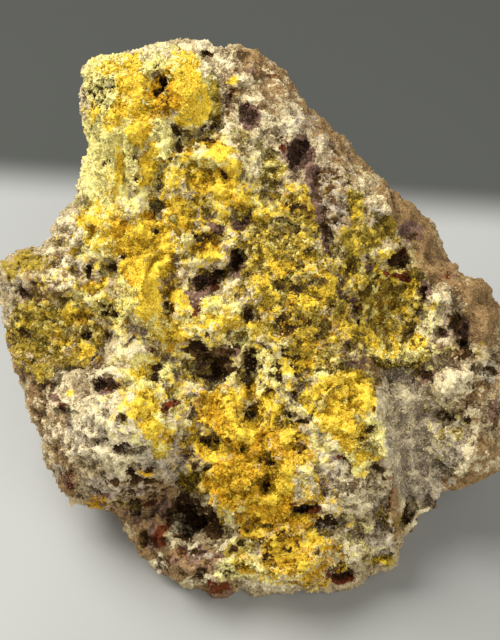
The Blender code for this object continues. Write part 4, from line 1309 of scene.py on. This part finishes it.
def finish_piece(piece, node_names, material):
    """Gives the piece its material, rides it on the model and hides the CAD nodes that it stands for."""
    piece.data.materials.clear()
    piece.data.materials.append(material)
    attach(piece, "root")
    if node_names:
        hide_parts(*node_names)


# Grain


def grain_shape():
    """One grain, a block: its points and its faces."""
    deselect()
    bpy.ops.mesh.primitive_cube_add(size=GRAIN_BLOCK)
    grain = bpy.context.object
    bpy.ops.object.mode_set(mode="EDIT")
    bpy.ops.mesh.quads_convert_to_tris()
    bpy.ops.object.mode_set(mode="OBJECT")
    points = points_of(grain.data)
    faces = np.array([tuple(face.vertices) for face in grain.data.polygons])
    mesh = grain.data
    bpy.data.objects.remove(grain)
    bpy.data.meshes.remove(mesh)
    return points, faces


Faces = namedtuple("Faces", "corners areas directions hollows")


def faces_of(mesh):
    """The triangles' corners, areas, directions and how far each lies in a hollow."""
    mesh.calc_loop_triangles()
    ends = np.empty(len(mesh.loop_triangles) * 3, np.int32)
    mesh.loop_triangles.foreach_get("vertices", ends)
    hollow = np.empty(len(mesh.vertices), np.float32)
    mesh.attributes["hollow"].data.foreach_get("value", hollow)
    hollow = hollow[ends].reshape(-1, 3).mean(axis=1)
    corners = points_of(mesh)[ends.reshape(-1, 3)]
    cross = np.cross(corners[:, 1] - corners[:, 0], corners[:, 2] - corners[:, 0])
    area = np.linalg.norm(cross, axis=1)
    return Faces(corners, area / 2, cross / np.maximum(area, 1e-15)[:, None], hollow)


def scatter(corners, weights, count, random):
    """Places on the faces, more where the weight is greater, and which face each is on."""
    total = np.cumsum(weights)
    picked = np.searchsorted(total, random.random(count) * total[-1])
    first, second = random.random((2, count))
    over = first + second > 1
    first[over], second[over] = 1 - first[over], 1 - second[over]
    chosen = corners[picked]
    places = chosen[:, 0] + first[:, None] * (chosen[:, 1] - chosen[:, 0])
    places += second[:, None] * (chosen[:, 2] - chosen[:, 0])
    return places, picked


def turned(count, random):
    """Random turns, as matrices."""
    quads = random.normal(size=(count, 4))
    quads /= np.linalg.norm(quads, axis=1)[:, None]
    w, x, y, z = quads.T
    return np.stack([
        np.stack([1 - 2 * (y * y + z * z), 2 * (x * y - z * w), 2 * (x * z + y * w)], 1),
        np.stack([2 * (x * y + z * w), 1 - 2 * (x * x + z * z), 2 * (y * z - x * w)], 1),
        np.stack([2 * (x * z - y * w), 2 * (y * z + x * w), 1 - 2 * (x * x + y * y)], 1),
    ], 1)


def mesh_from(name, points, faces):
    """A mesh of triangles."""
    mesh = bpy.data.meshes.new(name)
    mesh.vertices.add(len(points))
    mesh.vertices.foreach_set("co", points.astype(np.float32).ravel())
    mesh.loops.add(faces.size)
    mesh.loops.foreach_set("vertex_index", faces.astype(np.int32).ravel())
    mesh.polygons.add(len(faces))
    mesh.polygons.foreach_set("loop_start", np.arange(0, faces.size, 3, dtype=np.int32))
    mesh.update(calc_edges=True)
    return mesh


def grow_grains(name, surface, weights, count, random, laid_on=None):
    """One piece with this many grains on a surface, each sunk a little into the ground."""
    grain = values("specimen_grain")
    places, picked = scatter(surface.corners, weights, count, random)
    normals, sunk = surface.directions[picked], surface.hollows[picked]
    sizes = random.uniform(grain.smallest, grain.largest, count)
    shape, shape_faces = grain_shape()
    per = len(shape)
    stretch = random.uniform(*GRAIN_STRETCH, (count, 1, 3))
    knocked = shape[None] * stretch * (1 + GRAIN_KNOCK * random.normal(size=(count, per, 1)))
    knocked = np.einsum("nij,nkj->nki", turned(count, random), knocked)
    centres = places - normals * (sizes * GRAIN_SINK)[:, None]
    points = in_box((centres[:, None] + knocked * sizes[:, None, None]).reshape(-1, 3))
    faces = (shape_faces[None] + np.arange(count)[:, None, None] * per).reshape(-1, 3)
    mesh = mesh_from(name, points, faces)
    tint = np.repeat(random.uniform(-1, 1, count), per)
    places, normals = np.repeat(places, per, 0), np.repeat(normals, per, 0)
    # Painted shade on each grain's lower side and where it lies in a hollow, and a painted highlight at
    # its tip
    tip = np.einsum("ij,ij->i", points - places, normals)
    hollow = np.clip(-tip / np.repeat(sizes, per) * 0.5, -1, 1) + np.repeat(sunk, per) * 0.8
    dress(mesh, places, normals, hollow, tint, laid_on)
    piece = add_object(name, mesh)
    take(piece)
    bpy.ops.object.shade_flat()
    return piece


# The operators


def make_floor(stage):
    """A pale floor that falls into shade to one side and far behind."""
    deselect()
    bpy.ops.mesh.primitive_plane_add(size=FLOOR_SIZE, location=(0, 0, 0))
    floor = bpy.context.object
    floor.name = "floor"
    sheet = Sheet("floor")
    place = sheet.place()
    x, y, _ = sheet.parts(place, "ShaderNodeSeparateXYZ")
    far = sheet.node("ShaderNodeMapRange", {"interpolation_type": "SMOOTHSTEP"}, {
        "Value": y + x * 0.12, "From Min": 0.082, "From Max": 0.102,
    })
    dusk = sheet.node("ShaderNodeMapRange", {"interpolation_type": "SMOOTHSTEP"}, {
        "Value": x - y, "From Min": -0.04, "From Max": 0.12, "To Max": 0.8,
    })
    near = sheet.mix(dusk, (*stage.floor_colour, 1), (*stage.dusk_colour, 1))
    wear = sheet.noise(place, 0.04, 3)[0]
    floor.data.materials.append(sheet.surface({
        "Base Color": sheet.mix(far, near, (*stage.far_colour, 1)),
        "Roughness": 0.5 + (wear - 0.5) * 0.2, "Specular IOR Level": 0.2,
    }))


def stand_off(thing, towards, distance):
    """Puts a light or the camera this far from the middle of the face, looking at it."""
    thing.location = FACE_MIDDLE + towards * distance
    thing.rotation_euler = towards.to_track_quat("Z", "Y").to_euler()


def add_light(name, power, size, towards, distance, colour):
    light = bpy.data.lights.new(name, "AREA")
    light.energy = power
    light.size = size
    light.color = colour
    stand_off(add_object(name, light), Vector(towards).normalized(), distance)


class SPECIMEN_OT_stage(bpy.types.Operator):
    """Lays the floor and sets the light and the camera"""

    bl_idname = "specimen.stage"
    bl_label = "Stage"

    def execute(self, context):
        stage = values("specimen_stage")
        make_floor(stage)
        world = bpy.data.worlds.new("studio")
        world.use_nodes = True
        background = world.node_tree.nodes["Background"]
        background.inputs["Color"].default_value = AIR_COLOUR
        background.inputs["Strength"].default_value = stage.fill
        context.scene.world = world
        add_light("key", stage.key_power, stage.key_size, *KEY_PLACE, KEY_COLOUR)
        add_light("side", stage.side_power, stage.side_size, *SIDE_PLACE, SIDE_COLOUR)

        camera = bpy.data.cameras.new("camera")
        camera.lens = stage.lens
        camera.sensor_fit = "VERTICAL"
        camera.sensor_height = 36
        camera.clip_start = 0.01
        viewer = add_object("camera", camera)
        stand_off(viewer, Vector(FACE_OUT), VIEW_DISTANCE)
        context.scene.camera = viewer
        context.scene.view_settings.view_transform = "Standard"
        return {"FINISHED"}


class SPECIMEN_OT_rock(bpy.types.Operator):
    """Makes the rock with its lumps, holes and grit"""

    bl_idname = "specimen.rock"
    bl_label = "Rock"

    def execute(self, context):
        sizes = values("specimen_rock")
        rock = copy_of("matrix", "rock")
        modify(rock, "REMESH", mode="VOXEL", voxel_size=sizes.mesh_step)
        modify(rock, "SMOOTH", factor=0.5, iterations=10)
        mesh = rock.data
        points, normals = points_of(mesh), normals_of(mesh)
        base = (points[:, 2] < 0.5 * MM) & (normals[:, 2] < -0.7)
        standing = np.where(base, 0, 1)
        in_front = facing(normals, *ROCK_FRONT)
        worn = worn_at(points) * in_front
        weigh(rock, "broad", standing * (1 - 0.8 * worn) * (0.6 + 0.4 * in_front))
        weigh(rock, "small", standing * (1 - 0.5 * worn) * (0.5 + 0.5 * in_front))
        relief(rock, "CLOUDS", sizes.clump_size, sizes.clump, "broad", noise_depth=2)
        points = points_of(mesh)
        moved = points + placed_relief(points, normals)[:, None] * FACE_OUT
        behind = standing * facing(-normals, *BACK_FRONT)
        swells = swell(points, 9 * MM, 51) + 0.5 * swell(points, 4 * MM, 52) - 0.4
        set_points(mesh, moved + normals * (behind * swells * sizes.back_swell)[:, None])
        relief(rock, "VORONOI", sizes.knob_size, -sizes.knob, "small")
        relief(rock, "DISTORTED_NOISE", sizes.grit_size, sizes.grit, "small", distortion=1.5)
        points = points_of(mesh)
        points[base, 2] = 0
        set_points(mesh, in_box(points))
        thin(rock, sizes.most_triangles)
        rock.vertex_groups.clear()
        dress_ground(rock)
        finish_piece(rock, ["matrix"], mineral("rock", 0.88, 0.6))
        return {"FINISHED"}


class SPECIMEN_OT_crusts(bpy.types.Operator):
    """Makes the yellow crusts, each with the grain that grows on it"""

    bl_idname = "specimen.crusts"
    bl_label = "Crusts"

    def execute(self, context):
        material = mineral("crust", 0.7, 0.5)
        matrix = frame["nodes"]["matrix"].data
        below = BVHTree.FromPolygons(
            [v.co for v in matrix.vertices], [tuple(p.vertices) for p in matrix.polygons]
        )
        for number, (name, laid_on) in enumerate(CRUSTS.items()):
            crust = self.grow(name, below)
            dress_ground(crust, laid_on)
            surface = faces_of(crust.data)
            weights = surface.areas * facing(surface.directions, *RELIEF_FRONT)
            count = int(weights.sum() / MM**2 * values("specimen_grain").crust_density)
            random = np.random.default_rng(100 + number)
            grains = grow_grains(name + "_grains", surface, weights, count, random, laid_on)
            take(crust)
            grains.select_set(True)
            bpy.ops.object.join()
            finish_piece(crust, [name], material)
        return {"FINISHED"}

    def grow(self, name, below):
        """One crust with its lumps, folds and grit, rooted in the rock below."""
        sizes = values("specimen_crust")
        crust = copy_of(name, name + "_grown")
        points = points_of(crust.data)
        for index, point in enumerate(points):
            if below.find_nearest(point)[3] < ROOT_REACH:
                points[index] -= FACE_OUT * sizes.rooting
        set_points(crust.data, points)
        modify(crust, "REMESH", mode="VOXEL", voxel_size=sizes.mesh_step)
        modify(crust, "SMOOTH", factor=0.5, iterations=6)
        mesh = crust.data
        points, normals = points_of(mesh), normals_of(mesh)
        weigh(crust, "rough", 1 - WEAR * worn_at(points))
        relief(crust, "CLOUDS", sizes.clump_size, sizes.clump, "rough", noise_depth=2)
        points = points_of(mesh)
        set_points(mesh, points + placed_relief(points, normals)[:, None] * FACE_OUT)
        relief(crust, "VORONOI", sizes.fold_size, -sizes.fold, "rough")
        relief(crust, "VORONOI", sizes.knob_size, -sizes.knob, "rough")
        relief(crust, "DISTORTED_NOISE", sizes.grit_size, sizes.grit, distortion=1.5)
        crust.vertex_groups.clear()
        set_points(mesh, in_box(points_of(mesh)))
        return crust


class SPECIMEN_OT_grain(bpy.types.Operator):
    """Scatters loose grain over the rock's face"""

    bl_idname = "specimen.grain"
    bl_label = "Rock grain"

    def execute(self, context):
        grain = values("specimen_grain")
        rock = bpy.data.objects["rock"]
        material = rock.data.materials[0]
        random = np.random.default_rng(7)
        surface = faces_of(rock.data)
        middles = surface.corners.mean(axis=1)
        worn = worn_at(middles)
        # Fewer grains where worn and where holes carry painted shade
        painted_shade = ovals_at(*picture_of(middles), PAINT["painted_shade"])
        weights = surface.areas * facing(surface.directions, *GRAIN_FRONT)
        weights = weights * (1 - 0.4 * worn) * (1 - 0.6 * painted_shade)
        weights *= middles[:, 2] > LOWEST_GRAIN
        for number in range(grain.rock_pieces):
            name = f"rock_grain_{number + 1}"
            piece = grow_grains(name, surface, weights, grain.in_a_piece, random)
            finish_piece(piece, [], material)
        return {"FINISHED"}


OPERATORS = (
    SPECIMEN_OT_stage, SPECIMEN_OT_rock, SPECIMEN_OT_crusts, SPECIMEN_OT_grain,
)


class VIEW3D_PT_specimen(bpy.types.Panel):
    """Lists the specimen's values and the steps that make it"""

    bl_label = "Specimen"
    bl_idname = "VIEW3D_PT_specimen"
    bl_space_type = "VIEW_3D"
    bl_region_type = "UI"
    bl_category = "Specimen"

    def draw(self, context):
        for kind, name in GROUPS:
            box = self.layout.box()
            box.label(text=kind.__doc__)
            group = getattr(context.scene, name)
            for field in kind.__annotations__:
                box.prop(group, field)
        for operator in OPERATORS:
            self.layout.operator(operator.bl_idname)


def register():
    for kind, name in GROUPS:
        bpy.utils.register_class(kind)
        setattr(bpy.types.Scene, name, PointerProperty(type=kind))
    for kind in (*OPERATORS, VIEW3D_PT_specimen):
        bpy.utils.register_class(kind)


def unregister():
    for kind in (VIEW3D_PT_specimen, *reversed(OPERATORS)):
        bpy.utils.unregister_class(kind)
    for kind, name in reversed(GROUPS):
        delattr(bpy.types.Scene, name)
        bpy.utils.unregister_class(kind)


def main():
    """Makes the whole specimen."""
    register()
    bpy.ops.specimen.stage()
    bpy.ops.specimen.rock()
    bpy.ops.specimen.crusts()
    bpy.ops.specimen.grain()


if __name__ == "__main__":
    main()
